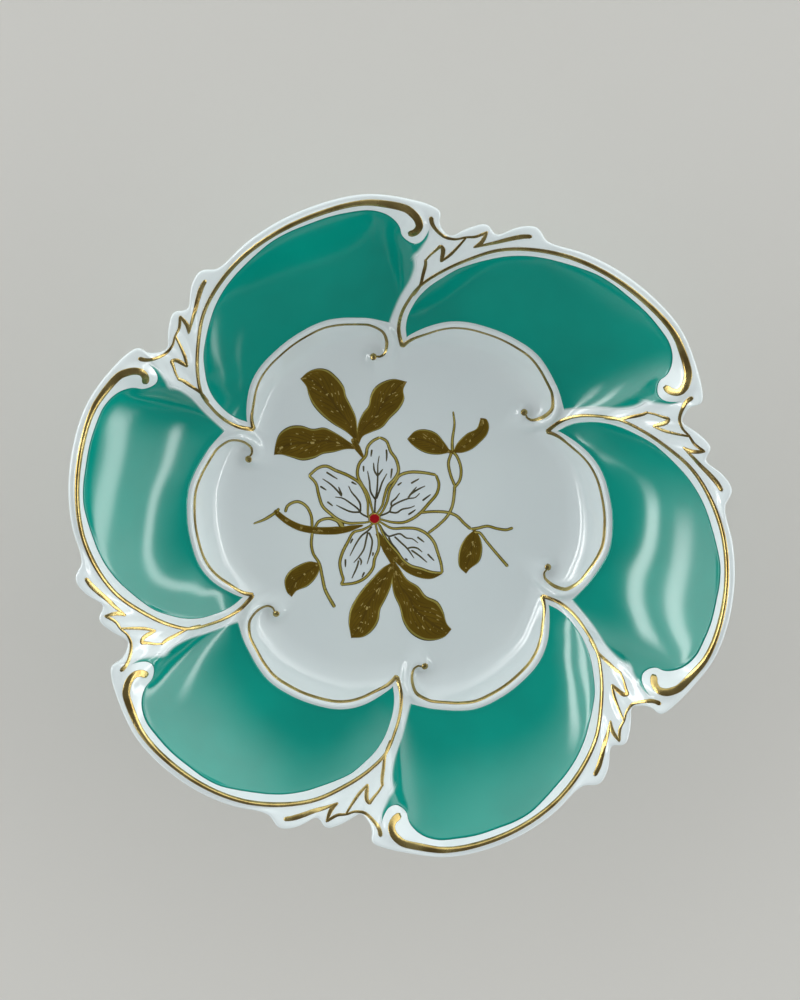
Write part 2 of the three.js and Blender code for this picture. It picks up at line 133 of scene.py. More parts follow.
# The foot ring's profile from its outer fillet inwards: past the foot's outer radius, and height
FOOT_PROFILE = [
    (FOOT_FILLET, FOOT_HEIGHT), (0.15, 3.6), (0, 2.6), (-0.1, 1.4), (-0.4, 0.6), (-1, 0.15), (-1.7, 0),
    (-4.3, 0), (-5, 0.15), (-5.6, 0.6), (-5.9, 1.4), (-6.1, 2.6), (-6.6, 3.5), (-7.8, BASE_HEIGHT),
]
BASE_RADII = (45, 20, 0)

# Modelled scrolls and leaf strokes of one petal, x and y seen from above
RIM_CURL = [
    (113.2, 72), (114.2, 68.5), (114, 65.2), (112.9, 62), (110.8, 59.9), (108.1, 59.9), (105.7, 61.7),
]
WELL_EYE = (52.5, 44.4)
WELL_CURL = [
    (66.3, 54.5), (65.5, 51), (65, 46.4), (62.2, 42.5), (59, 40.6), (55.8, 40), (53.2, 41.4), WELL_EYE,
]
WELL_CURL_END = (52.5, 43.2)
LEAF_STROKES = [
    [(3.2, 95.5), (5.5, 100.1), (6.5, 105.4), (7.2, 109.7), (7.0, 111.9)],
    [(6.9, 111.2), (8.8, 113.7), (11, 115.9), (12.9, 118.0)],
    [(12.5, 118.0), (13.7, 116.6), (13.9, 115.0), (13.3, 110.8)],
    [(13.2, 110.9), (16.8, 114), (19.7, 117.4), (22.8, 121.6)],
    [(8.0, 130), (8.9, 126.7), (11.9, 123.2), (14.9, 121.3), (18.7, 120.7), (22.6, 121.6), (26.4, 121.9),
     (31.2, 124.1)],
    [(31.0, 124.2), (29.9, 121.4), (28.6, 119.2), (26.0, 117.3)],
    [(26.0, 117.3), (31.2, 118.8), (36, 120), (40.8, 121.4), (45.6, 122.4), (48.9, 122.5)],
]
LEAF_WIDTHS = [
    [0.9, 1.1, 1.3, 1.5, 1.2], [0.8, 0.9, 1.1, 1.5], [1.4, 1.8, 1.7, 0.9], [0.9, 1.3, 1.1, 0.8],
    [1.9, 1.5, 1.3, 1.2, 0.9, 0.9, 1.2, 1.1], [0.8, 1.6, 1.8, 0.8], [0.6, 1.2, 1.5, 1.8, 2.0, 1.6],
]
LEAF_RIB = [(7.0, 111.9), (4.8, 112.6), (2.7, 113.2)]

# The enamel field of one petal: its crisp outer edge, and its soft edge beside the next petal's ridge
ENAMEL_TIP = (112.4, 55.9)
ENAMEL_OUTER = [
    (1.7, 76.1), (1.2, 80.4), (1.9, 85.2), (3.8, 90), (6.5, 94.8), (10.1, 99.1), (14.9, 103), (20.6, 106.8),
    (26.4, 109.2), (33.6, 111.4), (40, 112.8), (48, 113.3), (55.2, 112.6), (60, 111.6), (68, 109.5),
    (75.6, 106.8), (82, 103.1), (87.3, 99.1), (95.3, 92.4), (101.2, 86), (105.5, 80.1), (107.3, 74.8),
    (107.3, 70.5), (106, 66.8), (103.6, 64.1), (102.8, 60.9), (103.3, 57.7), (105.5, 55.7), (108.8, 55.3),
    ENAMEL_TIP,
]
ENAMEL_TAIL = [
    (69.0, 46.0), (75, 47.4), (82, 48.7), (90, 49.4), (95.6, 51.0), (98.0, 52.6), (99.5, 53.9), (101.4, 53.3),
    (105.4, 53.3), (109.2, 54.2), ENAMEL_TIP,
]

# How finely the nets are drawn: points between stations, rows of each surface, points along curls and strokes
COLUMNS = [6] * LEAF_JOINT + [12] * 5 + [7] * 7
LEAF_ROWS, COVE_ROWS, LIP_ROWS, EDGE_ROWS, UNDER_ROWS = 5, 13, 11, 9, 11
FLOOR_SHARES = (0, 0.3, 0.55, 0.72, 0.8, 0.85, 0.885, 0.91, 0.93, 0.95, 0.967, 0.984, 1)
CURL_POINTS, STROKE_POINTS, RIB_POINTS = 30, 14, 8
FINE_POINTS = 40
# A petal's rows crowd into its mouldings: shares of the rows, and each moulding's width and greatest share
ROW_SHARES = (0, 0.22, 0.72, 1)
INNER_MOULDING = (1.6 * WELL_BAND, 0.3)
OUTER_MOULDING = (1.4 * RIM_BAND, 0.34)


# Placing and curves

def height_of(lift):
    return CUSP_HEIGHT + lift * RIM_RISE


def place(point):
    """An outline point's x, y and height, from its degrees, reach and lift."""
    degrees, reach, lift = point
    radius = CUSP_RADIUS + reach * (RIM_RADIUS - CUSP_RADIUS)
    angle = math.radians(degrees)
    return (radius * math.sin(angle), radius * math.cos(angle), height_of(lift))


def turned(points, turns):
    """Points turned clockwise round the axis, one petal per turn."""
    c, s = math.cos(turns * STEP), math.sin(turns * STEP)
    out = np.array(points, float)
    x, y = out[..., 0].copy(), out[..., 1].copy()
    out[..., 0], out[..., 1] = c * x + s * y, c * y - s * x
    return out


def along(points, stations):
    """Places on the smooth curve through points, at stations counted in points."""
    p = np.asarray(points, float)
    p = np.vstack([2 * p[0] - p[1], p, 2 * p[-1] - p[-2]])
    s = np.asarray(stations, float)
    i = np.clip(np.floor(s).astype(int), 0, len(p) - 4)
    w = (s - i)[:, None]
    p0, p1, p2, p3 = p[i], p[i + 1], p[i + 2], p[i + 3]
    spans = ((p0, p1), (p1, p2), (p2, p3))
    d0, d1, d2 = (np.sqrt(np.linalg.norm(b - a, axis=1))[:, None] for a, b in spans)
    m1 = ((p1 - p0) / d0 - (p2 - p0) / (d0 + d1) + (p2 - p1) / d1) * d1
    m2 = ((p2 - p1) / d1 - (p3 - p1) / (d1 + d2) + (p3 - p2) / d2) * d1
    return p1 + m1 * w + (3 * p2 - 3 * p1 - 2 * m1 - m2) * w ** 2 + (2 * p1 - 2 * p2 + m1 + m2) * w ** 3


def spaced(points, count):
    """Evenly spaced places on the smooth curve through points."""
    fine = along(points, np.linspace(0, len(points) - 1, FINE_POINTS * len(points)))
    reach = np.concatenate([[0], np.cumsum(np.linalg.norm(np.diff(fine, axis=0), axis=1))])
    wanted = np.linspace(0, reach[-1], count)
    return np.stack([np.interp(wanted, reach, fine[:, k]) for k in range(fine.shape[1])], -1)


def leftward(path):
    """Unit steps to the left of a path, at each of its places."""
    step = np.gradient(path, axis=0)
    step /= np.linalg.norm(step, axis=1)[:, None]
    return np.stack([-step[:, 1], step[:, 0]], -1)


def edges_of(path, widths):
    """The left and right edges of a band along a path."""
    path = np.asarray(path, float)[:, :2]
    side = leftward(path) * (np.asarray(widths) / 2)[:, None]
    return path + side, path - side


def smooth(value):
    """0 to 1, softly, as a value goes from 0 to 1."""
    v = np.clip(value, 0, 1)
    return v * v * (3 - 2 * v)


def lesser(a, b):
    """The lesser of two sizes, rounded off where they are alike."""
    return (a ** -4 + b ** -4) ** -0.25


def nearest(spots, path):
    """Distance from each spot to a path, and how far along the path its nearest place lies."""
    path = np.asarray(path, float)
    a, b = path[:-1], path[1:]
    ab = b - a
    t = np.einsum("nsk,sk->ns", spots[:, None] - a, ab) / np.einsum("sk,sk->s", ab, ab)
    t = np.clip(t, 0, 1)
    d = np.linalg.norm(spots[:, None] - (a + t[..., None] * ab), axis=2)
    best = d.argmin(1)
    rows = np.arange(len(spots))
    return d[rows, best], (best + t[rows, best]) / len(a)


# One petal's lines: its rim, its share of the well edge, its leaf, and its tail along the next petal's ridge
stations = np.concatenate([[0.0]] + [k + np.arange(1, n + 1) / n for k, n in enumerate(COLUMNS)])
ridge_end = sum(COLUMNS[:LEAF_JOINT])
rim_points = [place(p) for p in RIM_LINE]
rim = along(rim_points, stations)
well = along([place(p) for p in WELL_EDGE], stations)
leaf_points = [rim_points[LEAF_JOINT]] + [place(p) for p in LEAF_EDGE] + [turned(rim_points[-1], -1)]
leaf_stations = np.linspace(0, len(leaf_points) - 1, LEAF_ROWS * (len(leaf_points) - 1) + 1)
leaf = along(leaf_points, leaf_stations)
tail = turned(np.vstack([rim[:ridge_end + 1], leaf[1:]]), 1)


# One petal's share of the body

def roll(distance, radius):
    """Rounded cross-section of a moulded roll, 1 on its line."""
    return np.exp(-(distance / radius) ** ROLL_POWER)


def relief(spots):
    """Height of the scrolls, eyes, leaf strokes and ribs that stand above the plain surfaces."""
    rim_curl, well_curl = spaced(RIM_CURL, CURL_POINTS), spaced(WELL_CURL, CURL_POINTS)
    aside = 2 * WELL_CURL_ASIDE * smooth(np.linspace(0, WELL_CURL_ASIDE_RATE, CURL_POINTS))
    well_curl = edges_of(well_curl, aside)[0]
    rise = np.zeros(len(spots))
    for turns in (-1, 0, 1):
        gap, share = nearest(spots, turned(rim_curl, turns))
        rise += RIM_CURL_RISE * smooth(share / RIM_CURL_GROWTH) * roll(gap, RIM_CURL_RADIUS)
        gap, share = nearest(spots, turned(well_curl, turns))
        rise += WELL_CURL_RISE * smooth(share / WELL_CURL_GROWTH) * roll(gap, WELL_CURL_RADIUS)
        gap = np.linalg.norm(spots - turned([WELL_EYE], turns), axis=1)
        rise += EYE_RISE * roll(gap, EYE_RADIUS)
        gap = np.linalg.norm(spots - turned([HOLLOW_AT], turns), axis=1)
        rise -= HOLLOW_DEPTH * roll(gap, HOLLOW_RADIUS)
        for stroke in LEAF_STROKES:
            gap, _ = nearest(spots, turned(spaced(stroke, STROKE_POINTS), turns))
            rise = np.maximum(rise, STROKE_RISE * roll(gap, STROKE_RADIUS))
        gap, share = nearest(spots, turned(spaced(LEAF_RIB, RIB_POINTS), turns))
        rise = np.maximum(rise, RIB_RISE * (1 - RIB_TAPER * share) * roll(gap, RIB_RADIUS))
    return rise


def with_relief(rows):
    rows = np.array(rows, order="C")
    flat = rows.reshape(-1, 3)
    flat[:, 2] += relief(flat[:, :2])
    return rows


def column(start, end):
    """A petal's points from the well edge out to the rim line, scooped between their mouldings."""
    width = max(np.linalg.norm(end - start), 1e-3)
    slack = lesser(1, width / MOULDING_ROOM / (WELL_BAND + RIM_BAND))
    inner, outer = (lesser(size / width, most) for size, most in (INNER_MOULDING, OUTER_MOULDING))
    share = np.interp(np.linspace(0, 1, len(tail)), ROW_SHARES, [0, inner, 1 - outer, 1])
    spots = start + (end - start) * share[:, None]
    bent = share - SCOOP * slack * share * (1 - share)
    spots[:, 2] = start[2] + (end[2] - start[2]) * bent
    inner_step = smooth(share * width / lesser(WELL_BAND, MOST_MOULDING * width))
    outer_step = smooth((1 - share) * width / lesser(RIM_BAND, MOST_MOULDING * width))
    spots[:, 2] -= slack * inner_step * outer_step * (WELL_DROP * (1 - share) + RIM_DROP * share)
    return spots


def with_smooth_corner(net):
    """A petal's net with its corner, between the hook and the next petal's ridge, drawn smooth."""
    late = smooth((stations - CORNER_START) / (CORNER_FULL - CORNER_START))
    outer = smooth((np.linspace(0, 1, len(net)) - CORNER_INNER) / CORNER_EASE)
    weight = (outer[:, None] * late)[1:-1, 1:-1, None]
    net = net.copy()
    for _ in range(CORNER_ROUNDS):
        between = (net[:-2, 1:-1] + net[2:, 1:-1] + net[1:-1, :-2] + net[1:-1, 2:]) / 4
        net[1:-1, 1:-1] += weight * (between - net[1:-1, 1:-1])
    return net


def petal_rows():
    """Rows of a petal from the well edge to its rim, drawn over to the next petal's ridge at its end."""
    columns = np.array([column(w, g) for w, g in zip(well, rim)])
    shift = tail - columns[-1]
    columns += shift[None] * (stations / stations[-1])[:, None, None] ** TAIL_SOFTNESS
    return with_smooth_corner(columns.transpose(1, 0, 2))


def lip_and_edge_rows():
    """Rows of the lip and leaf outside the rim line, and rows round the edge of the dish."""
    inner = np.vstack([rim[ridge_end:], tail[ridge_end:-1][::-1]])
    lip_stations = np.concatenate([stations[ridge_end:], stations[-1] + leaf_stations[1:]])
    edge_stations = [p[0] for p in [NOTCH] + LEAF_SILHOUETTE + LOBE_SILHOUETTE]
    edge_points = [place(NOTCH[1:])]
    edge_points += [(x, y, height_of(lift)) for _, x, y, lift in LEAF_SILHOUETTE]
    edge_points += [place(p[1:]) for p in LOBE_SILHOUETTE]
    outer = along(edge_points, np.interp(lip_stations, edge_stations, range(len(edge_stations))))
    outward = (outer - inner)[:, :2]
    width = np.linalg.norm(outward, axis=1)
    outward /= width[:, None]
    edge_round = np.minimum(LIP_ROUND, MOST_ROUND * width)
    top = outer.copy()
    top[:, :2] -= outward * edge_round[:, None]
    lip, edge = [], []
    for share in np.linspace(0, 1, LIP_ROWS):
        row = inner + (top - inner) * share
        row[:, 2] -= LIP_DROP * smooth(share * width / LIP_BAND) * smooth((1 - share) * LIP_RUN_OUT)
        lip.append(row)
    for angle in np.linspace(0, math.pi, EDGE_ROWS):
        row = top.copy()
        row[:, :2] += outward * (edge_round * math.sin(angle))[:, None]
        row[:, 2] -= LIP_THICKNESS / 2 * (1 - math.cos(angle))
        edge.append(row)
    return np.array(lip), np.array(edge)


def well_rows():
    """Rows of the flat floor, and of the cove up to the well edge."""
    reach = np.linalg.norm(well[:, :2], axis=1)
    floor_reach = CUSP_RADIUS - COVE_WIDTH + FLOOR_LOBE * (reach - CUSP_RADIUS)
    floor_edge = well.copy()
    floor_edge[:, :2] *= (floor_reach / reach)[:, None]
    floor_edge[:, 2] = FLOOR_HEIGHT
    cove = []
    for share in np.linspace(0, 1, COVE_ROWS):
        row = floor_edge + (well - floor_edge) * share
        row[:, 2] = FLOOR_HEIGHT + (well[:, 2] - FLOOR_HEIGHT) * share ** COVE_BEND
        cove.append(row)
    return np.array([floor_edge * (share, share, 1) for share in FLOOR_SHARES]), np.array(cove)


def under_and_foot_rows(low_edge):
    """Rows of the underside from the edge of the dish in to the foot, and of the foot ring and the base."""
    low_reach = np.linalg.norm(low_edge[:, :2], axis=1)
    ray = low_edge[:, :2] / low_reach[:, None]
    foot_reach = FOOT_OUTER + FOOT_FILLET
    under = []
    for share in np.linspace(1, 0, UNDER_ROWS):
        reach = foot_reach + (low_reach - foot_reach) * share
        height = FOOT_HEIGHT + (low_edge[:, 2] - FOOT_HEIGHT) * share ** UNDER_BEND
        under.append(np.column_stack([ray * reach[:, None], height]))
    profile = [(FOOT_OUTER + past, height) for past, height in FOOT_PROFILE]
    profile += [(radius, BASE_HEIGHT) for radius in BASE_RADII]
    foot = [np.column_stack([ray * radius, np.full(len(ray), height)]) for radius, height in profile]
    return np.array(under), np.array(foot)


def grid_faces(first, rows, columns):
    """Faces of a grid of points, facing up where its rows run outwards and clockwise."""
    at = first + np.arange(rows * columns).reshape(rows, columns)
    return np.stack([at[:-1, :-1], at[:-1, 1:], at[1:, 1:], at[1:, :-1]], -1).reshape(-1, 4)


def make_mesh(name, points, faces, attributes):
    """A mesh from points in millimetres, with named values at its points."""
    mesh = bpy.data.meshes.new(name)
    mesh.from_pydata((np.asarray(points) * MM).tolist(), [], [list(map(int, f)) for f in faces])
    for key, values in attributes.items():
        layer = mesh.attributes.new(key, "FLOAT", "POINT")
        layer.data.foreach_set("value", np.asarray(values, np.float32))
    return mesh


def sector_mesh():
    """One sixth of the body as an open net, with how far each place is softened."""
    plain_lip, edge = lip_and_edge_rows()
    under, foot = under_and_foot_rows(edge[-1])
    floor, cove, petal, lip = (with_relief(rows) for rows in (*well_rows(), petal_rows(), plain_lip))
    edge[:, :, 2] += (lip[-1] - plain_lip[-1])[None, :, 2]
    under[0] = edge[-1]
    over = np.linspace(0, 1, len(petal))
    eased_in = CRISP + (1 - CRISP) * smooth(np.minimum(over, 1 - over) / SOFT_EASE)
    blocks = [
        (floor, CRISP), (cove, CRISP), (petal, eased_in), (lip, CRISP), (edge, CRISP), (under, CRISP),
        (foot, 0),
    ]
    points, faces, soften, first = [], [], [], 0
    for rows, soft in blocks:
        count, width = rows.shape[:2]
        points.append(rows.reshape(-1, 3))
        faces.append(grid_faces(first, count, width))
        soften.append(np.repeat(np.broadcast_to(soft, count), width))
        first += count * width
    return make_mesh("dish_sector", np.vstack(points), np.vstack(faces), {"soften": np.concatenate(soften)})


# Nodes

def feed(tree, node, inputs):
    """Sets a node's inputs to values, or links them to other nodes' outputs."""
    for key, source in inputs.items():
        if isinstance(source, bpy.types.NodeSocket):
            tree.links.new(source, node.inputs[key])
        else:
            node.inputs[key].default_value = source


def add(tree, kind, inputs=None, **settings):
    """A new node with its settings and inputs."""
    node = tree.nodes.new(kind)
    for key, value in settings.items():
        setattr(node, key, value)
    feed(tree, node, inputs or {})
    return node


def maths(tree, operation, *values, clamp=False):
    node = add(tree, "ShaderNodeMath", dict(enumerate(values)), operation=operation, use_clamp=clamp)
    return node.outputs[0]


def new_tree(name, kind, inputs, outputs):
    """A node tree with named inputs and outputs: the tree, what it is given, and its output node."""
    tree = bpy.data.node_groups.new(name, kind)
    for key, socket_kind, default in inputs:
        socket = tree.interface.new_socket(key, in_out="INPUT", socket_type=socket_kind)
        if default is not None:
            socket.default_value = default
    for key, socket_kind in outputs:
        tree.interface.new_socket(key, in_out="OUTPUT", socket_type=socket_kind)
    return tree, add(tree, "NodeGroupInput").outputs, add(tree, "NodeGroupOutput")


# Geometry Nodes

MERGE_DISTANCE = 2e-6
DROP_FROM, DROP_LENGTH = 0.3, 0.6


def shape_tree(name, inputs):
    inputs = [("Geometry", "NodeSocketGeometry", None), *inputs, ("Material", "NodeSocketMaterial", None)]
    return new_tree(name, "GeometryNodeTree", inputs, [("Geometry", "NodeSocketGeometry")])


def spin(tree, turns, angle):
    """A rotation about the dish's axis, by an angle times a number of turns."""
    euler = add(tree, "ShaderNodeCombineXYZ", {"Z": maths(tree, "MULTIPLY", turns, angle)})
    return add(tree, "FunctionNodeEulerToRotation", {0: euler.outputs[0]}).outputs[0]


def named_value(tree, name):
    return add(tree, "GeometryNodeInputNamedAttribute", {"Name": name}, data_type="FLOAT").outputs[0]


def finish_shape(tree, geometry, material, out):
    """Ends a tree with a smoothly shaded shape in its material."""
    shade = add(tree, "GeometryNodeSetShadeSmooth", {"Geometry": geometry})
    finished = add(tree, "GeometryNodeSetMaterial", {"Geometry": shade.outputs[0], "Material": material})
    feed(tree, out, {0: finished.outputs[0]})
    return tree


def ring_tree():
    """A sector repeated round the axis, joined at its edges and softened as glaze softens a mould's edges."""
    tree, given, out = shape_tree("ring_of_sectors", [
        ("Count", "NodeSocketInt", PETALS), ("Merge Distance", "NodeSocketFloat", MERGE_DISTANCE),
        ("Softening", "NodeSocketInt", SOFTENING),
    ])
    points = add(tree, "GeometryNodePoints", {"Count": given["Count"]})
    index = add(tree, "GeometryNodeInputIndex").outputs[0]
    copies = add(tree, "GeometryNodeInstanceOnPoints", {
        "Points": points.outputs[0], "Instance": given["Geometry"],
        "Rotation": spin(tree, maths(tree, "DIVIDE", index, given["Count"]), -2 * math.pi),
    })
    real = add(tree, "GeometryNodeRealizeInstances", {0: copies.outputs[0]})
    merged = add(tree, "GeometryNodeMergeByDistance", {
        "Geometry": real.outputs[0], "Distance": given["Merge Distance"],
    })
    blur = add(tree, "GeometryNodeBlurAttribute", {
        "Value": add(tree, "GeometryNodeInputPosition").outputs[0],
        "Iterations": given["Softening"], "Weight": named_value(tree, "soften"),
    }, data_type="FLOAT_VECTOR")
    moved = add(tree, "GeometryNodeSetPosition", {"Geometry": merged.outputs[0], "Position": blur.outputs[0]})
    return finish_shape(tree, moved.outputs[0], given["Material"], out)


def laying_tree():
    """A flat pattern let down onto the glaze, raised by its own rise attribute and turned to its petal."""
    tree, given, out = shape_tree("laid_on_glaze", [
        ("Glaze", "NodeSocketObject", None), ("Turns", "NodeSocketInt", 0),
    ])
    glaze = add(tree, "GeometryNodeObjectInfo", {"Object": given["Glaze"]}, transform_space="ORIGINAL")
    here = add(tree, "GeometryNodeInputPosition").outputs[0]
    lifted = add(tree, "ShaderNodeVectorMath", {0: here, 1: (0, 0, DROP_FROM)}, operation="ADD")
    drop = add(tree, "GeometryNodeRaycast", {
        "Target Geometry": glaze.outputs["Geometry"], "Source Position": lifted.outputs[0],
        "Ray Direction": (0, 0, -1), "Ray Length": DROP_LENGTH,
    })
    up = add(tree, "ShaderNodeCombineXYZ", {"Z": named_value(tree, "rise")})
    moved = add(tree, "GeometryNodeSetPosition", {
        "Geometry": given["Geometry"], "Position": drop.outputs["Hit Position"], "Offset": up.outputs[0],
    })
    at_petal = add(tree, "GeometryNodeTransform", {
        "Geometry": moved.outputs[0], "Rotation": spin(tree, given["Turns"], -STEP),
    })
    real = add(tree, "GeometryNodeRealizeInstances", {0: at_petal.outputs[0]})
    return finish_shape(tree, real.outputs[0], given["Material"], out)


def socket_of(tree, name):
    return next(s.identifier for s in tree.interface.items_tree if s.name == name and s.in_out == "INPUT")


def built(name, mesh, tree, values):
    """A plain piece made from a mesh by a node tree."""
    source = bpy.data.objects.new(name + ".source", mesh)
    bpy.context.scene.collection.objects.link(source)
    modifier = source.modifiers.new("build", "NODES")
    modifier.node_group = tree
    for key, value in values.items():
        modifier[socket_of(tree, key)] = value
    made = bpy.data.meshes.new_from_object(source.evaluated_get(bpy.context.evaluated_depsgraph_get()))
    bpy.data.objects.remove(source)
    made.name = name
    piece = bpy.data.objects.new(name, made)
    bpy.context.scene.collection.objects.link(piece)
    return piece


# Materials

def linear(*rgb):
    """A colour as seen on a screen, 0 to 255, as the light values that shaders use."""
    return tuple((c / 255 / 12.92 if c <= 10 else ((c / 255 + 0.055) / 1.055) ** 2.4) for c in rgb) + (1.0,)


PORCELAIN = linear(226, 236, 237)
PORCELAIN_SHADE = linear(223, 233, 235)
BISCUIT = linear(222, 214, 200)
ENAMEL_DEEP = linear(0, 138, 123)
ENAMEL_LIGHT = linear(0, 149, 133)
RED = linear(176, 10, 22)
RED_DEEP = linear(150, 6, 16)
PETAL_WHITE = linear(225, 235, 238)
PETAL_SHADE = linear(220, 230, 234)
RIM_GOLD_DARK, RIM_GOLD_LIGHT = linear(146, 124, 72), linear(196, 176, 114)
LINE_GOLD_DARK, LINE_GOLD_LIGHT = linear(206, 188, 84), linear(234, 218, 120)
# Painted shade: the darker colour given to the sides of the raised gold lines
LINE_GOLD_SIDE_SHADE = linear(90, 82, 34)
VEIN_GOLD_DARK, VEIN_GOLD_LIGHT = linear(80, 76, 54), linear(104, 98, 68)
LEAF_DARK, LEAF_LIGHT = linear(120, 95, 12), linear(134, 107, 20)
LEAF_VEIN, LEAF_FLECK = linear(84, 62, 12), linear(226, 204, 124)
LEAF_BORDER, LEAF_EDGING = linear(186, 172, 84), linear(82, 74, 26)

GLAZE_ROUGHNESS, BISCUIT_ROUGHER, ENAMEL_ROUGHNESS = 0.07, 0.7, 0.1
BISCUIT_HEIGHT = 0.0004
# Scales of the mottling: patches and waves
GLAZE_MOTTLE, GREEN_MOTTLE, ENAMEL_MOTTLE = (18, 55), (22, 60), (90, 120)
GOLD_MOTTLE, LEAF_MOTTLE = (90, 700), (120, 900)
PATCH_DETAIL, WAVE_DETAIL = 3.0, 1.0
PATCH_FROM, PATCH_TO = 0.35, 0.65
# Waviness of a surface: strength and depth in metres
GLAZE_WAVES, ENAMEL_WAVES = (0.05, 0.0004), (0.1, 0.0003)
GOLD_WAVES, VEIN_CUTS = (0.25, 0.0002), (0.3, 0.0002)
# Where the painted shade on a gold line's sides begins and is full, as shares of its half-width, and how its
# roughness varies
GOLD_SIDE_SHADE_SPAN = (0.36, 0.74)
RUBBED, POLISHED = 0.12, 0.05
# A leaf across its half-width: midrib, where side veins fade out, border and edging
MIDRIB, VEIN_FADE, BORDER_FROM, EDGING_FROM = 0.07, (0.75, 0.5), 0.86, 0.955
VEIN_CREST, VEIN_SHARPNESS = 0.62, 4.0
FLECK_SCALE, FLECK_FROM = 420, 0.6
VEIN_SHOW, FLECK_SHOW, BORDER_SHOW, EDGING_SHOW = 0.5, 0.9, 0.85, 1.0


def mix_colour(tree, factor, a, b):
    mix = add(tree, "ShaderNodeMix", {"Factor": factor, "A": a, "B": b}, data_type="RGBA")
    return mix.outputs["Result"]


def eased(tree, value, start, end):
    """0 to 1, softly, as a value goes from start to end."""
    limits = {"Value": value, "From Min": min(start, end), "From Max": max(start, end)}
    rising = add(tree, "ShaderNodeMapRange", limits, interpolation_type="SMOOTHSTEP").outputs[0]
    return rising if end > start else maths(tree, "SUBTRACT", 1.0, rising)


def attribute(tree, name):
    return add(tree, "ShaderNodeAttribute", attribute_name=name).outputs["Fac"]


def object_place(tree):
    return add(tree, "ShaderNodeTexCoord").outputs["Object"]


def mottled_group():
    """Two colours mottled softly into each other, and a fine waviness for the surface."""
    group, given, out = new_tree("mottled", "ShaderNodeTree", [
        ("Colour A", "NodeSocketColor", (1, 1, 1, 1)), ("Colour B", "NodeSocketColor", (1, 1, 1, 1)),
        ("Patch Scale", "NodeSocketFloat", 30.0), ("Wave Scale", "NodeSocketFloat", 90.0),
    ], [("Colour", "NodeSocketColor"), ("Patches", "NodeSocketFloat"), ("Waves", "NodeSocketFloat")])
    where = object_place(group)
    noise, waves = (
        add(group, "ShaderNodeTexNoise", {"Vector": where, "Scale": given[key], "Detail": detail}).outputs[0]
        for key, detail in (("Patch Scale", PATCH_DETAIL), ("Wave Scale", WAVE_DETAIL))
    )
    limits = {"Value": noise, "From Min": PATCH_FROM, "From Max": PATCH_TO}
    patches = add(group, "ShaderNodeMapRange", limits).outputs[0]
    colour = mix_colour(group, patches, given["Colour A"], given["Colour B"])
    feed(group, out, {"Colour": colour, "Patches": patches, "Waves": waves})
    return group


def vein_group():
    """A leaf's midrib and slanting side veins, from how far along and across the leaf a place lies."""
    group, given, out = new_tree("leaf_veins", "ShaderNodeTree", [
        ("Along", "NodeSocketFloat", 0.0), ("Across", "NodeSocketFloat", 0.0),
        ("Veins", "NodeSocketFloat", 9.0), ("Slant", "NodeSocketFloat", 0.5),
    ], [("Veins", "NodeSocketFloat"), ("Border", "NodeSocketFloat"), ("Edge", "NodeSocketFloat")])
    aside = maths(group, "ABSOLUTE", given["Across"])
    run = maths(group, "SUBTRACT", given["Along"], maths(group, "MULTIPLY", aside, given["Slant"]))
    count = maths(group, "MULTIPLY", run, given["Veins"])
    wave = maths(group, "SINE", maths(group, "MULTIPLY", count, 2 * math.pi))
    crest = maths(group, "SUBTRACT", wave, VEIN_CREST)
    line = maths(group, "MULTIPLY", crest, VEIN_SHARPNESS, clamp=True)
    side_veins = maths(group, "MULTIPLY", line, eased(group, aside, *VEIN_FADE))
    feed(group, out, {
        "Veins": maths(group, "MAXIMUM", side_veins, maths(group, "LESS_THAN", aside, MIDRIB)),
        "Border": maths(group, "GREATER_THAN", aside, BORDER_FROM),
        "Edge": maths(group, "GREATER_THAN", aside, EDGING_FROM),
    })
    return group


MOTTLED = mottled_group()
VEINS = vein_group()


def new_material(name, roughness, metallic=0.0):
    material = bpy.data.materials.new(name)
    material.use_nodes = True
    tree = material.node_tree
    shader = tree.nodes["Principled BSDF"]
    feed(tree, shader, {"Roughness": roughness, "Metallic": metallic})
    return material, tree, shader


def mottled(tree, a, b, patch, wave):
    inputs = {"Colour A": a, "Colour B": b, "Patch Scale": patch, "Wave Scale": wave}
    return add(tree, "ShaderNodeGroup", inputs, node_tree=MOTTLED).outputs


def waviness(tree, height, strength, depth):
    inputs = {"Height": height, "Strength": strength, "Distance": depth}
    return add(tree, "ShaderNodeBump", inputs).outputs[0]


def porcelain_material():
    """White glaze, wiped off where the foot ring stands."""
    material, tree, shader = new_material("white_glaze", GLAZE_ROUGHNESS)
    shade = mottled(tree, PORCELAIN, PORCELAIN_SHADE, *GLAZE_MOTTLE)
    height = add(tree, "ShaderNodeSeparateXYZ", {0: object_place(tree)}).outputs["Z"]
    biscuit = maths(tree, "LESS_THAN", height, BISCUIT_HEIGHT)
    feed(tree, shader, {
        "Base Color": mix_colour(tree, biscuit, shade["Colour"], BISCUIT),
        "Roughness": maths(tree, "MULTIPLY_ADD", biscuit, BISCUIT_ROUGHER, GLAZE_ROUGHNESS),
        "Normal": waviness(tree, shade["Waves"], *GLAZE_WAVES),
    })
    return material


def enamel_material():
    """Green enamel, thinning to the white glaze along its soft edge."""
    material, tree, shader = new_material("green_enamel", ENAMEL_ROUGHNESS)
    shade = mottled(tree, ENAMEL_DEEP, ENAMEL_LIGHT, *GREEN_MOTTLE)
    feed(tree, shader, {
        "Base Color": mix_colour(tree, attribute(tree, "thin"), shade["Colour"], PORCELAIN),
        "Normal": waviness(tree, shade["Waves"], *GLAZE_WAVES),
    })
    return material


def plain_enamel(name, a, b):
    material, tree, shader = new_material(name, ENAMEL_ROUGHNESS)
    shade = mottled(tree, a, b, *ENAMEL_MOTTLE)
    feed(tree, shader, {
        "Base Color": shade["Colour"], "Normal": waviness(tree, shade["Waves"], *ENAMEL_WAVES),
    })
    return material


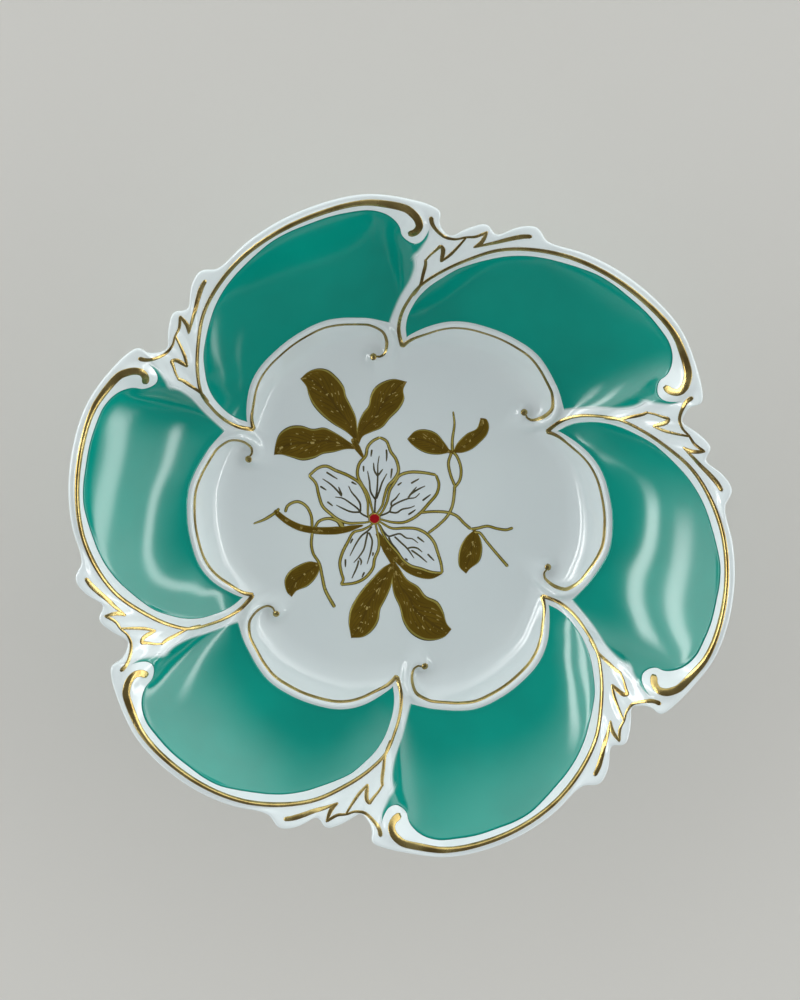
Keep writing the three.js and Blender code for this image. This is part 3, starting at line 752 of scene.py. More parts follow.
def gold_material(name, dark, light, roughness, metallic, sides=None):
    """Fired gold, rubbed thin in places, with painted shade: darker sides where a line stands up from the
    glaze.
    """
    material, tree, shader = new_material(name, roughness, metallic)
    shade = mottled(tree, dark, light, *GOLD_MOTTLE)
    colour = shade["Colour"]
    # Painted shade: the sides of a raised line are darkened in colour
    if sides:
        aside = maths(tree, "ABSOLUTE", attribute(tree, "across"))
        colour = mix_colour(tree, eased(tree, aside, *GOLD_SIDE_SHADE_SPAN), colour, sides)
    feed(tree, shader, {
        "Base Color": colour,
        "Roughness": maths(tree, "MULTIPLY_ADD", shade["Patches"], RUBBED, roughness - POLISHED),
        "Normal": waviness(tree, shade["Waves"], *GOLD_WAVES),
    })
    return material


def leaf_material():
    """Gold leaves with engraved veins, some bright and some dark, and a raised bright border."""
    material, tree, shader = new_material("leaf_gold", roughness=0.34, metallic=0.5)
    shade = mottled(tree, LEAF_DARK, LEAF_LIGHT, *LEAF_MOTTLE)
    places = {"Along": attribute(tree, "along"), "Across": attribute(tree, "across")}
    drawn = add(tree, "ShaderNodeGroup", places, node_tree=VEINS).outputs
    flecks = add(tree, "ShaderNodeTexNoise", {"Vector": object_place(tree), "Scale": FLECK_SCALE}).outputs[0]
    bright = maths(tree, "MULTIPLY", maths(tree, "GREATER_THAN", flecks, FLECK_FROM), drawn["Veins"])
    colour = shade["Colour"]
    for mask, show, tint in (
        (drawn["Veins"], VEIN_SHOW, LEAF_VEIN), (bright, FLECK_SHOW, LEAF_FLECK),
        (drawn["Border"], BORDER_SHOW, LEAF_BORDER), (drawn["Edge"], EDGING_SHOW, LEAF_EDGING),
    ):
        colour = mix_colour(tree, maths(tree, "MULTIPLY", mask, show), colour, tint)
    feed(tree, shader, {"Base Color": colour, "Normal": waviness(tree, drawn["Veins"], *VEIN_CUTS)})
    return material


WHITE_GLAZE = porcelain_material()
GREEN = enamel_material()
RIM_GOLD = gold_material("rim_gold", RIM_GOLD_DARK, RIM_GOLD_LIGHT, roughness=0.22, metallic=0.85)
# Gold for the flower's outlines, stems and collar, with painted shade on the sides of each line
SHADED_LINE_GOLD = gold_material(
    "line_gold_shaded_sides", LINE_GOLD_DARK, LINE_GOLD_LIGHT, roughness=0.26, metallic=0.6, sides=LINE_GOLD_SIDE_SHADE,
)
VEIN_GOLD = gold_material("vein_gold", VEIN_GOLD_DARK, VEIN_GOLD_LIGHT, roughness=0.4, metallic=0.4)
LEAVES = leaf_material()
RED_ENAMEL = plain_enamel("red_enamel", RED, RED_DEEP)
WHITE_ENAMEL = plain_enamel("white_enamel", PETAL_WHITE, PETAL_SHADE)

# The body

RING = ring_tree()
LAY = laying_tree()
body = built("porcelain_body_glazed", sector_mesh(), RING, {"Material": WHITE_GLAZE})
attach(body, "root")
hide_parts("porcelain_body")


# Patterns laid on the glaze

ACROSS = np.array([-1, -0.86, -0.5, 0, 0.5, 0.86, 1])
SINK = 0.25
LINE_DOME = 0.5
BLUNTEST = 0.12


def strip(left, right, height, domed):
    """A closed strip between two edges: places, rise, faces, and how far along and across each place lies."""
    left, right = np.asarray(left, float)[:, :2], np.asarray(right, float)[:, :2]
    count, wide = len(left), len(ACROSS)
    share = (1 - ACROSS) / 2
    top = right[None] + (left - right)[None] * share[:, None, None]
    spots = np.concatenate([top, top[[0, -1]]])
    crown = height * (1 - domed * ACROSS ** 2)
    rise = np.concatenate([np.repeat(crown, count), np.full(2 * count, -SINK)])
    flow = np.tile(np.linspace(0, 1, count), wide + 2)
    cross = np.repeat(np.concatenate([ACROSS, [-1, 1]]), count)
    at = np.arange((wide + 2) * count).reshape(wide + 2, count)
    ring = list(range(wide)) + [wide + 1, wide]
    loop = at[ring + [0]]
    walls = np.stack([loop[:-1, :-1], loop[1:, :-1], loop[1:, 1:], loop[:-1, 1:]], -1).reshape(-1, 4)
    faces = walls.tolist() + [at[ring[::-1], 0].tolist(), at[ring, -1].tolist()]
    return spots.reshape(-1, 2), rise, faces, flow, cross


def brushed(path, widths, count, height):
    """A painted line through the path, its width following widths, with rounded ends."""
    line = spaced(path, count)
    width = np.interp(np.linspace(0, 1, count), np.linspace(0, 1, len(widths)), widths)
    length = np.linalg.norm(np.diff(line, axis=0), axis=1).sum()
    reach = np.linspace(0, length, count)
    for gap in (reach, length - reach):
        half = np.maximum(width / 2, 1e-6)
        width = width * np.sqrt(np.clip(1 - (1 - np.clip(gap / half, BLUNTEST, 1)) ** 2, 0, 1))
    return strip(*edges_of(line, width), height, LINE_DOME)


def pattern_mesh(name, strips):
    """Strips as one flat mesh, with the values that laying it on and its material need."""
    spots, rise, faces, flow, cross = zip(*strips)
    firsts = np.cumsum([0] + [len(s) for s in spots])
    all_faces = [[k + first for k in face] for first, group in zip(firsts, faces) for face in group]
    xy = np.vstack(spots)
    return make_mesh(name, np.column_stack([xy, np.zeros(len(xy))]), all_faces, {
        "rise": np.concatenate(rise) * MM, "along": np.concatenate(flow), "across": np.concatenate(cross),
    })


def lay(name, mesh, material, node=None, turns=0):
    piece = built(name, mesh, LAY, {"Glaze": body, "Turns": turns, "Material": material})
    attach(piece, "root")
    if node:
        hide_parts(node)


# The enamel fields and the gilding of the mouldings

ENAMEL_COLUMNS, ENAMEL_ROWS = 150, 60
ENAMEL_INSET = 1.8
ENAMEL_SPREAD, SPREAD_EASE = 0.8, 0.12
ENAMEL_RUN, ENAMEL_RUN_STEP = (1.4, 13.7), 6
ENAMEL_TAIL_SOFTNESS = 6
ENAMEL_HEIGHT, ENAMEL_EDGE_HEIGHT, ENAMEL_EDGE_BAND = 0.14, 0.03, 0.5
# Width of the soft edge at the well and at the hook, its share left at the tip, and where these change
FADE_START, FADE_END, FADE_TIP = 1.2, 2.0, 0.25
FADE_GROWS, FADE_GROWTH, TIP_STARTS, TIP_LENGTH = 0.3, 0.5, 0.8, 0.14

# Gilding: how far inside its moulding each line runs, the stations it takes in, its widths and its height
RIM_INSET, RIM_PART = 0.1, slice(0, -24, 3)
RIM_INSET_FROM, RIM_INSET_EASE = 5, 4
RIM_WIDTHS = [1.8, 1.4, 1.3, 1.3, 1.4, 1.4, 1.5, 1.7, 1.8, 1.9, 2.0, 2.1, 2.3, 2.9, 3.2, 2.8]
WELL_INSET, WELL_PART_END, WELL_PART_STEP = 1.2, 13.3, 4
WELL_INSET_GROWTH, WELL_INSET_END, WELL_INSET_LOSS = 0.15, 1.25, 0.4
WELL_WIDTHS = [1.8, 1.1, 0.9, 0.9, 0.9, 0.9, 1.0, 1.0, 1.0, 1.1, 1.3, 0.8]
EYE_DOT_RADIUS = 1.4
RIM_GILT, WELL_GILT, EYE_GILT, LEAF_GILT = 0.25, 0.2, 0.9, 0.24
# Points along each brushed line
WELL_LINE_POINTS = 120
RIM_GILT_POINTS, WELL_GILT_POINTS, EYE_GILT_POINTS, LEAF_GILT_POINTS = 260, 180, 14, 34


def enamel_net():
    """Places from the inner edge, just outside the well edge, to the outer edge, ending at the soft edge."""
    beside = well[:, :2] + leftward(well[:, :2]) * ENAMEL_INSET
    run = (stations > ENAMEL_RUN[0]) & (stations < ENAMEL_RUN[1])
    inner_points = np.vstack([[ENAMEL_OUTER[0]], beside[run][::ENAMEL_RUN_STEP], [ENAMEL_TAIL[0]]])
    inner = spaced(inner_points, ENAMEL_COLUMNS)
    order = np.arange(ENAMEL_COLUMNS)
    ends = np.minimum(order, order[::-1]) / ENAMEL_COLUMNS
    spread = 2 * ENAMEL_SPREAD * smooth(ends / SPREAD_EASE)
    outer = edges_of(spaced(ENAMEL_OUTER, ENAMEL_COLUMNS), spread)[0]
    soft_edge = spaced(ENAMEL_TAIL, ENAMEL_ROWS)
    share = np.linspace(0, 1, ENAMEL_ROWS)
    net = inner[None] + (outer - inner)[None] * share[:, None, None]
    shift = soft_edge - net[:, -1]
    net += shift[:, None] * (np.linspace(0, 1, ENAMEL_COLUMNS) ** ENAMEL_TAIL_SOFTNESS)[None, :, None]
    edge_gap = np.minimum(share, 1 - share)[:, None] * np.linalg.norm(outer - inner, axis=1)[None]
    return net.reshape(-1, 2), soft_edge, edge_gap.ravel()


def enamel_mesh():
    """A closed layer on the enamel's net, with how thin the enamel is towards its soft edge."""
    top, soft_edge, edge_gap = enamel_net()
    gap, onward = nearest(top, soft_edge)
    fade = FADE_START + (FADE_END - FADE_START) * smooth((onward - FADE_GROWS) / FADE_GROWTH)
    fade *= 1 - (1 - FADE_TIP) * smooth((onward - TIP_STARTS) / TIP_LENGTH)
    thin = 1 - smooth(gap / fade)
    height = ENAMEL_HEIGHT * smooth(edge_gap / ENAMEL_EDGE_BAND) + ENAMEL_EDGE_HEIGHT
    count = len(top)
    at = np.arange(count).reshape(ENAMEL_ROWS, ENAMEL_COLUMNS)
    up = grid_faces(0, ENAMEL_ROWS, ENAMEL_COLUMNS)
    border = np.concatenate([at[0], at[1:, -1], at[-1, -2::-1], at[-2:0:-1, 0]])
    after = np.roll(border, -1)
    sides = np.stack([after, border, border + count, after + count], -1)
    points = np.column_stack([np.vstack([top, top]), np.zeros(2 * count)])
    return make_mesh("enamel_pattern", points, np.vstack([up, up[:, ::-1] + count, sides]), {
        "rise": np.concatenate([height, np.full(count, -SINK)]) * MM, "thin": np.concatenate([thin, thin]),
    })


def gold_patterns():
    """The brushed lines of one petal, by the name of what they gild."""
    inward = 2 * RIM_INSET * smooth((stations[RIM_PART] - RIM_INSET_FROM) / RIM_INSET_EASE)
    rim_path = np.vstack([edges_of(rim[RIM_PART], inward)[1], RIM_CURL[1:]])
    well_part = well[stations < WELL_PART_END][::WELL_PART_STEP, :2]
    well_line = spaced(np.vstack([well_part, WELL_CURL[2:-1], [WELL_CURL_END]]), WELL_LINE_POINTS)
    share = np.linspace(0, 1, WELL_LINE_POINTS)
    inward = 2 * WELL_INSET * smooth(share / WELL_INSET_GROWTH)
    inward *= smooth((WELL_INSET_END - share) / WELL_INSET_LOSS)
    well_path = edges_of(well_line, inward)[1]
    x, y = WELL_EYE
    eye = [(x - EYE_DOT_RADIUS, y), WELL_EYE, (x + EYE_DOT_RADIUS, y)]
    leaf_strokes = zip(LEAF_STROKES, LEAF_WIDTHS)
    return {
        "rim_gilding": [brushed(rim_path, RIM_WIDTHS, RIM_GILT_POINTS, RIM_GILT)],
        "well_gilding": [brushed(well_path, WELL_WIDTHS, WELL_GILT_POINTS, WELL_GILT)],
        "scroll_eye": [brushed(eye, [2 * EYE_DOT_RADIUS] * 2, EYE_GILT_POINTS, EYE_GILT)],
        "leaf_gilding": [brushed(*stroke, LEAF_GILT_POINTS, LEAF_GILT) for stroke in leaf_strokes],
    }


patterns = {name: pattern_mesh(name + "_pattern", strips) for name, strips in gold_patterns().items()}
enamel = enamel_mesh()
for number in range(1, PETALS + 1):
    lay(f"enamel_field_{number}", enamel, GREEN, f"enamel_panel_{number}", number - 1)
    for name, mesh in patterns.items():
        lay(f"{name}_line_{number}", mesh, RIM_GOLD, f"{name}_{number}", number - 1)

# The gilt flower in the well, sketched in its own units: right and down from the corner of the sketch
SKETCH_UNIT = 0.8246
SKETCH_CORNER = (-68.3, 66.7)
SKETCH_STRETCH = 1.014
SKETCH_TURN = math.radians(0.96)

FLOWER_CENTRE = (70, 82.8)
# Each petal has a tip and two sides, both from the flower's centre towards the tip
PETAL_SHAPES = [
    ((72.8, 40.5),
     [(69, 79), (66.5, 70), (63.5, 65), (61.2, 60), (62.2, 54), (65.5, 50), (66.5, 45.5), (69, 42.5)],
     [(71.5, 80), (74, 76), (75, 72), (77, 66), (80.5, 62), (82.5, 58), (81.2, 52), (78.5, 48),
      (76.2, 42.5)]),
    ((102, 60.3),
     [(73.5, 80), (76.5, 74), (78, 68), (80.5, 64), (83, 60.5), (88, 58.8), (95, 59)],
     [(74, 83.5), (79, 84.8), (85, 85), (90, 83), (94, 80), (98.5, 75), (102.5, 70), (103.5, 65)]),
    ((105.5, 112),
     [(73.5, 85), (79, 88), (86, 88), (92, 88.5), (97, 91), (101, 95.5), (103, 101), (104.8, 107)],
     [(72.5, 86.5), (74.5, 91), (78, 96.5), (82, 101), (85, 105), (89, 108), (94, 109.5), (100, 111.5)]),
    ((52.2, 117.5),
     [(69, 85.5), (64, 88.5), (59, 90), (56, 95), (53, 101), (51.8, 106), (52.5, 111), (53.5, 115)],
     [(71, 88), (72.2, 94), (72, 99), (70, 104), (69, 109), (65, 114), (60, 116.5)]),
    ((36, 60),
     [(67, 82), (66.5, 74), (65, 69), (62, 64), (56, 60), (50, 57.5), (45, 55.2), (41, 56)],
     [(67, 84.5), (62, 85), (56, 85), (51, 83), (47, 80), (43, 76), (41, 70), (39.5, 64)]),
]
# The veins of each petal
PETAL_VEINS = [
    [[(70, 80.5), (70.5, 73), (71.3, 68), (71.7, 61), (71.8, 54.5), (72.5, 50)],
     [(70.5, 73), (68, 68.7), (67.4, 63.5), (66.4, 57.8)], [(71, 72.5), (72.6, 68.2), (74, 64), (76.5, 59.3)],
     [(71.7, 60.7), (70, 57.8), (69.5, 53.6)], [(71.8, 60.4), (73.4, 58.3), (74.4, 57)],
     [(68.7, 46.8), (68.2, 50.5)], [(76.2, 46.8), (76.4, 50), (76.2, 53)], [(79.1, 56.7), (78.5, 62)],
     [(64.3, 55.2), (64.4, 58.3)]],
    [[(72.8, 81.5), (77.8, 79.2), (78.8, 76.8), (82.4, 74.5), (87.4, 72.6), (91.2, 72), (93.6, 69.8)],
     [(78.8, 76.5), (78.8, 74.5), (81, 72.4), (83.2, 69.5)], [(87.4, 72.4), (89.2, 69.8), (92, 66.4)],
     [(88.1, 70.8), (92.3, 68), (96.4, 66)],
     [(77.8, 79.4), (81.4, 79.9), (84.5, 78.1), (88.7, 77.3), (91, 76.3)], [(82, 65.6), (84.2, 64)],
     [(89, 64.6), (93.3, 62.2)], [(95, 73.7), (99.3, 70.5)], [(87.6, 81), (91.5, 78.4)]],
    [[(72.6, 86), (74.7, 89.6), (77.3, 92.2), (79.8, 91.7), (83.2, 91), (86.6, 93.2), (89.7, 93.7),
      (92.8, 96)],
     [(80.4, 92.4), (84, 95.8), (87, 98.7), (90.7, 104)],
     [(87.4, 98.7), (89.7, 98.2), (92.3, 98.7), (95, 100.8)], [(89.2, 99.7), (93.3, 102.6), (97.5, 106.3)],
     [(77.3, 92.7), (78.8, 95.8), (81.4, 99), (83.5, 101.8)], [(92.3, 92.7), (96, 95.6)],
     [(97.7, 101.8), (101.3, 105.5)], [(86, 104), (87.4, 105.2)]],
    [[(68.7, 87), (66.4, 89.3), (63.3, 91.7), (60.7, 95.3), (57, 102.4)],
     [(66.5, 89.8), (65.6, 93.8), (64.3, 99), (61.7, 103), (59, 106)],
     [(62, 103.4), (63, 105.2), (62.7, 107.3)],
     [(61.7, 104.7), (60.7, 108.3), (58, 114.3)], [(67, 90), (68.7, 94.3), (68, 100), (66, 106.8)],
     [(58.6, 93.2), (57.3, 95.8)], [(54.7, 104), (54.7, 108.3)], [(64.6, 111), (63.3, 113.8)],
     [(69.2, 100.5), (69, 102.6)]],
    [[(67, 82.3), (63, 80), (61.5, 77.8), (57.6, 74.7), (53.4, 72), (49.5, 71.3)],
     [(53, 71), (50.8, 68.2), (47.2, 64.6), (43, 61.7)], [(53, 70.3), (51.3, 66)],
     [(62.7, 79.2), (62.5, 75), (60.7, 72), (58, 68.7), (56.5, 65.6)],
     [(62.2, 79.4), (58, 79.2), (54, 77.6), (50, 75.5)], [(45, 58.3), (50.8, 62)], [(41.8, 65.6), (45, 67.7)],
     [(45.4, 73.7), (48.3, 76)], [(58, 63.5), (60.7, 65)]],
]
# The gold underside that shows below the third petal, between its own edge and the petal's second side
TURN_PETAL = 3
TURN_START = (72.5, 90)
TURN_EDGE = [(70.5, 91), (73, 97), (77, 102), (82, 107), (87, 111.5), (94, 114.5), (100, 115), (105.5, 112.5)]
# Each leaf has a tip and two sides, both from its stalk towards the tip
LEAF_SHAPES = [
    ((32, 10),
     [(61, 43), (56, 38), (48, 33), (42, 28), (38, 23), (36, 18), (35, 14)],
     [(62, 43), (61.2, 36), (60.5, 30), (58, 24), (55.5, 19), (54.5, 14.5), (51, 9.5), (46, 5.5), (41, 4.8),
      (36, 6.5)]),
    ((86.8, 12),
     [(61, 43), (61.5, 34), (64, 28), (67, 24), (68, 19), (70, 15), (74, 12), (80, 10.5)],
     [(62, 44), (64, 40), (68, 38), (74, 35.5), (78, 31), (83, 26), (85.5, 21), (85, 16)]),
    ((18, 49),
     [(60, 45), (56, 42), (50, 38), (44, 35.2), (38, 35.8), (32, 34), (26, 34.5), (21, 38), (19, 43)],
     [(60, 46.5), (55, 46.5), (49, 48), (43, 49), (39, 51), (33, 52.2), (27, 50.5), (22, 49)]),
    ((57.5, 146),
     [(79, 106), (74, 109), (69, 114), (64, 119.5), (60, 125), (57, 131), (56.2, 138), (57, 143)],
     [(80.5, 107), (80, 112), (78.5, 119), (76, 125), (73, 131), (72, 137), (69, 142), (64, 145.5)]),
    ((110.5, 142),
     [(79.5, 106), (79, 116), (80, 123), (83, 130), (85, 138), (89, 144), (95, 147.5), (101, 148),
      (107, 146)],
     [(80.5, 105.5), (83, 109), (87, 115), (93, 119), (97, 124), (103, 127), (106, 132), (108, 139)]),
    ((87, 41.5),
     [(109.5, 48), (106, 43), (102, 38.5), (96, 36.5), (91, 37.5)],
     [(109, 48.8), (103, 49.8), (97, 49), (92, 46.5), (88.5, 43.5)]),
    ((125, 31),
     [(111, 48), (113, 44), (118, 39), (123, 36.5), (124.5, 33)],
     [(111.5, 48.8), (115, 49), (120, 47.5), (124.5, 44), (128.5, 39.5), (129.5, 35), (128, 31.5)]),
    ((118, 112.5),
     [(122, 89.5), (118, 93), (115, 98), (113.8, 104), (114.5, 109)],
     [(123, 89.5), (125.5, 94), (126.5, 100), (125, 106), (120, 110)]),
    ((26.5, 123.5),
     [(41, 106), (36, 105), (30, 107), (25, 110.5), (22.8, 115), (24, 121)],
     [(41, 107), (41, 110), (39, 114), (35, 118), (29, 120.5)]),
]
# Stalks that belong to leaves, by the leaf's number: path and widths
LEAF_STALKS = {
    1: ([(58.5, 41), (61, 45.5), (64.3, 51)], [2.2, 3.2, 1.2]),
    4: ([(72, 92), (75.5, 99), (79.8, 107)], [1.2, 3.0, 2.2]),
    6: ([(107.5, 47.2), (110.4, 48.6), (113, 47)], [1.4, 2.4, 1.4]),
}
# Each stem is one or more strokes of the brush: path and widths
STEM_STROKES = [
    [([(94, 80), (100, 79.5), (108, 80), (113, 82), (117, 86), (120.5, 89)], [1.5, 1.6, 1.7]),
     ([(120.5, 89), (124, 88.5), (129, 87.5), (134, 88.8), (139, 89.5), (142.5, 88.5)], [1.7, 1.5, 1.6])],
    [([(98, 90.8), (103, 87), (108, 82), (110.5, 77), (111.5, 71), (111.8, 66)], [1.5, 1.6, 1.7]),
     ([(111.8, 66), (109.5, 60), (108.5, 54), (110, 49)], [1.6, 1.6]),
     ([(111.8, 67), (114.5, 63), (115, 57), (113, 51), (111, 48.5)], [1.6, 1.6])],
    [([(20.5, 77), (18.5, 79), (13, 82.5), (7, 84.8)], [1.5, 1.7, 0.8]),
     ([(23.5, 79), (25, 75.5), (30, 73.5), (34.5, 76), (37, 81), (37.5, 87)], [1.6, 1.6]),
     ([(39, 87), (41, 84), (46, 82.5), (51, 84), (53.5, 87)], [1.6, 1.6, 1.6, 2.2, 3.6])],
    [([(37.5, 90), (37, 96), (38, 101), (41, 106), (42.5, 113), (44, 120), (47, 126), (49, 129.5)],
      [1.6, 1.6, 1.8, 2.0])],
    [([(122.5, 90.5), (125, 91), (129, 96), (134, 102), (140, 109)], [1.5, 1.5, 1.7])],
    [([(110.5, 48), (110.5, 42), (111.5, 34), (110.8, 27.5)], [1.7, 1.4, 0.9])],
]
BRANCH = (
    [(64, 86.3), (59, 87.4), (54, 88.5), (45, 89), (38, 88.5), (31, 87), (25, 84), (20.5, 80.5), (18, 78)],
    [0.8, 3.2, 4.2, 4.0, 3.8, 3.6, 3.2, 2.8],
)
OUTLINE_WIDTHS = [0.9, 1.5, 1.7, 1.7, 1.5]
VEIN_WIDTHS = [1.0, 1.0, 0.9, 0.5]
CENTRE_RADIUS = 2.05
COLLAR_WIDTH, COLLAR_GAP = 0.9, 0.2

# Heights of the flower's layers in millimetres, and how far the broad ones are domed
FILL_HEIGHT, OUTLINE_HEIGHT, VEIN_HEIGHT, TURN_HEIGHT = 0.06, 0.24, 0.13, 0.16
LEAF_HEIGHT, STEM_HEIGHT, BRANCH_HEIGHT, BEAD_HEIGHT, COLLAR_HEIGHT = 0.2, 0.2, 0.22, 0.5, 0.3
PETAL_DOME, LEAF_DOME = 0.3, 0.4
# Points along blades, the bead and its collar, and along strokes: at the ends and for each point of the path
BLADE_POINTS, BEAD_POINTS, CIRCLE_POINTS, COLLAR_POINTS = 40, 24, 17, 60
END_POINTS, PATH_POINTS = 10, 7


def sketched(points):
    """Places of the sketch on the floor of the dish, in millimetres."""
    points = np.asarray(points, float)
    x = SKETCH_CORNER[0] + SKETCH_UNIT * points[:, 0]
    y = SKETCH_CORNER[1] - SKETCH_UNIT * SKETCH_STRETCH * points[:, 1]
    c, s = math.cos(SKETCH_TURN), math.sin(SKETCH_TURN)
    return np.stack([c * x - s * y, s * x + c * y], -1)


def sketched_stroke(path, widths, height):
    count = END_POINTS + PATH_POINTS * len(path)
    return brushed(sketched(path), np.asarray(widths) * SKETCH_UNIT, count, height)


def to_tip(tip, *sides):
    return [side + [tip] for side in sides]


def lies_left(side, other):
    """Whether a side lies to the left of the other on the way from base to tip."""
    way = side[-1] - side[0]
    gap = side[len(side) // 2] - other[len(other) // 2]
    return way[0] * gap[1] - way[1] * gap[0] > 0


def blade(sides, height, domed):
    left, right = (spaced(sketched(side), BLADE_POINTS) for side in sides)
    if not lies_left(left, right):
        left, right = right, left
    return strip(left, right, height, domed)


for number, (shape, veins) in enumerate(zip(PETAL_SHAPES, PETAL_VEINS), 1):
    sides = to_tip(*shape)
    fill = pattern_mesh("petal_fill", [blade(sides, FILL_HEIGHT, PETAL_DOME)])
    lay(f"flower_petal_white_{number}", fill, WHITE_ENAMEL)
    outline = pattern_mesh("petal_outline", [
        sketched_stroke([FLOWER_CENTRE] + side, OUTLINE_WIDTHS, OUTLINE_HEIGHT) for side in sides
    ])
    lay(f"flower_petal_outline_{number}", outline, SHADED_LINE_GOLD, f"flower_petal_{number}")
    strokes = pattern_mesh("petal_veins", [sketched_stroke(vein, VEIN_WIDTHS, VEIN_HEIGHT) for vein in veins])
    lay(f"flower_petal_veins_{number}", strokes, VEIN_GOLD)

beside_turn = to_tip(*PETAL_SHAPES[TURN_PETAL - 1])[1][2:]
turned_side = blade((TURN_EDGE, [TURN_START] + beside_turn), TURN_HEIGHT, PETAL_DOME)
lay("flower_petal_turn", pattern_mesh("petal_turn", [turned_side]), LEAVES)

for number, shape in enumerate(LEAF_SHAPES, 1):
    parts = [blade(to_tip(*shape), LEAF_HEIGHT, LEAF_DOME)]
    if number in LEAF_STALKS:
        parts.append(sketched_stroke(*LEAF_STALKS[number], STEM_HEIGHT))
    blades = pattern_mesh("leaf_blade", parts)
    lay(f"flower_leaf_blade_{number}", blades, LEAVES, f"flower_leaf_{number}")

for number, strokes in enumerate(STEM_STROKES, 1):
    stem = pattern_mesh("stem_strokes", [sketched_stroke(*stroke, STEM_HEIGHT) for stroke in strokes])
    lay(f"flower_stem_stroke_{number}", stem, SHADED_LINE_GOLD, f"flower_stem_{number}")

lay("flower_branch", pattern_mesh("branch", [sketched_stroke(*BRANCH, BRANCH_HEIGHT)]), LEAVES)

middle = sketched([FLOWER_CENTRE])[0]
across_bead = [middle - (CENTRE_RADIUS, 0), middle, middle + (CENTRE_RADIUS, 0)]
bead = pattern_mesh("centre_bead", [brushed(across_bead, [2 * CENTRE_RADIUS] * 2, BEAD_POINTS, BEAD_HEIGHT)])
lay("flower_centre_bead", bead, RED_ENAMEL, "flower_centre")
circle = np.array([(math.sin(a), math.cos(a)) for a in np.linspace(0, 2 * math.pi, CIRCLE_POINTS)])
round_bead = middle + (CENTRE_RADIUS + COLLAR_GAP) * circle
collar = brushed(round_bead, [COLLAR_WIDTH] * 2, COLLAR_POINTS, COLLAR_HEIGHT)
lay("flower_centre_collar", pattern_mesh("centre_collar", [collar]), SHADED_LINE_GOLD)

# The studio: a pale floor and a soft surround
FLOOR_COLOUR = linear(212, 211, 206)
FLOOR_HALF = 15

# The walls rise to a height and end at the near side: where each fades out and where it is full
WALL_TOP, WALL_NEAR = (0.68, 0.28), (-0.7, 0.0)
FAR_WALL, SIDE_WALL, SIDE_FROM = (1.75, 1.8, 1.8, 1), (2.85, 2.9, 2.9, 1), (0.3, 0.75)
# The ceiling as it lights matt surfaces and as glossy ones show it
CEILING, CEILING_SHOWN = (0.53, 0.53, 0.53, 1), (0.12, 0.12, 0.12, 1)
# A low wall at the near side, which lights matt surfaces only
NEAR_WALL, NEAR_WALL_AT, NEAR_WALL_TOP = (1.3, 1.3, 1.3, 1), (-0.3, -0.7), (0.6, 0.25)
# Two long windows at each side, which only glossy surfaces show:
# side, height of the middle and half the breadth in degrees, near and far ends, brightness
WINDOWS = [
    (-1, 31, 2.6, -0.38, 0.54, 11.5), (-1, 19, 2.6, -0.2, 0.54, 11.5),
    (1, 25, 1.9, -0.6, 0.36, 9.5), (1, 6, 2.9, -0.6, 0.5, 7.5),
]
WINDOW_SOFT = math.radians(1.0)
WINDOW_FADE = 0.15

floor_mesh = bpy.data.meshes.new("studio_floor")
floor_corners = [(FLOOR_HALF * x, FLOOR_HALF * y, 0) for x, y in ((-1, -1), (1, -1), (1, 1), (-1, 1))]
floor_mesh.from_pydata(floor_corners, [], [(0, 1, 2, 3)])
floor = bpy.data.objects.new("studio_floor", floor_mesh)
bpy.context.scene.collection.objects.link(floor)
floor_material, floor_tree, floor_shader = new_material("studio_floor", roughness=0.8)
feed(floor_tree, floor_shader, {"Base Color": FLOOR_COLOUR})
floor_mesh.materials.append(floor_material)


def window(tree, parts, side, height, half, near, far):
    """1 on a long window at one side, its middle at a height above the horizon in degrees."""
    level = maths(tree, "ARCTAN2", parts["Z"], maths(tree, "MULTIPLY", parts["X"], side))
    off = maths(tree, "ABSOLUTE", maths(tree, "SUBTRACT", level, math.radians(height)))
    high = eased(tree, off, math.radians(half) + WINDOW_SOFT, math.radians(half) - WINDOW_SOFT)
    begun, ended = (eased(tree, parts["Y"], y - WINDOW_FADE, y + WINDOW_FADE) for y in (near, far))
    return maths(tree, "MULTIPLY", high, maths(tree, "SUBTRACT", begun, ended))


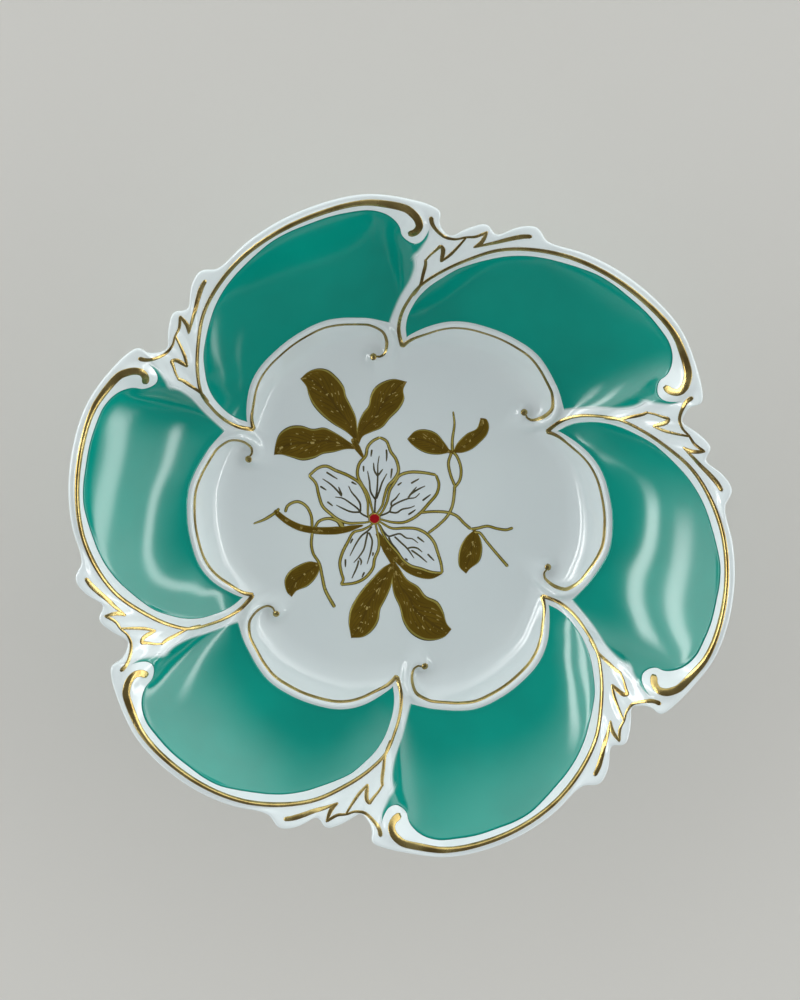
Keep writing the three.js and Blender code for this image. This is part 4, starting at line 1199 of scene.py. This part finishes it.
def surround(tree):
    """Light by direction: ceiling, near wall, pale walls, windows, and a plain ground for the camera."""
    direction = add(tree, "ShaderNodeTexCoord").outputs["Generated"]
    parts = add(tree, "ShaderNodeSeparateXYZ", {0: direction}).outputs
    rays = add(tree, "ShaderNodeLightPath").outputs
    light = mix_colour(tree, rays["Is Glossy Ray"], CEILING, CEILING_SHOWN)
    near_at, near_low = eased(tree, parts["Y"], *NEAR_WALL_AT), eased(tree, parts["Z"], *NEAR_WALL_TOP)
    near = maths(tree, "MULTIPLY", near_at, near_low)
    light = mix_colour(tree, maths(tree, "MULTIPLY", near, rays["Is Diffuse Ray"]), light, NEAR_WALL)
    walls = maths(tree, "MULTIPLY", eased(tree, parts["Z"], *WALL_TOP), eased(tree, parts["Y"], *WALL_NEAR))
    aside = eased(tree, maths(tree, "ABSOLUTE", parts["X"]), *SIDE_FROM)
    light = mix_colour(tree, walls, light, mix_colour(tree, aside, FAR_WALL, SIDE_WALL))
    for *spread, bright in WINDOWS:
        shown = maths(tree, "MULTIPLY", window(tree, parts, *spread), rays["Is Glossy Ray"])
        light = mix_colour(tree, shown, light, (bright, bright, bright, 1))
    return mix_colour(tree, rays["Is Camera Ray"], light, FLOOR_COLOUR)


world = bpy.data.worlds.new("soft_surround")
world.use_nodes = True
sky = world.node_tree
feed(sky, sky.nodes["Background"], {"Color": surround(sky)})
bpy.context.scene.world = world

# The camera, where the photograph was taken from
CAMERA_AT = Vector((-55.93, 197.85, 964.5 + CUSP_HEIGHT)) * MM
CAMERA_AIM = Vector((0.14, 5.95, CUSP_HEIGHT)) * MM
CAMERA_ROLL = math.radians(0.98)
CAMERA_LENS, CAMERA_SENSOR = 82.8, 36
back = (CAMERA_AT - CAMERA_AIM).normalized()
right = Vector((0, 1, 0)).cross(back).normalized()
up = back.cross(right)
level_right = right * math.cos(CAMERA_ROLL) + up * math.sin(CAMERA_ROLL)
level_up = up * math.cos(CAMERA_ROLL) - right * math.sin(CAMERA_ROLL)
camera_data = bpy.data.cameras.new("photo_camera")
camera_data.lens = CAMERA_LENS
camera_data.sensor_width = CAMERA_SENSOR
camera_data.clip_start, camera_data.clip_end = 0.01, 20
camera = bpy.data.objects.new("photo_camera", camera_data)
turn = Matrix((level_right, level_up, back)).transposed().to_4x4()
camera.matrix_world = Matrix.Translation(CAMERA_AT) @ turn
bpy.context.scene.collection.objects.link(camera)
bpy.context.scene.camera = camera
bpy.context.scene.view_settings.view_transform = "Standard"
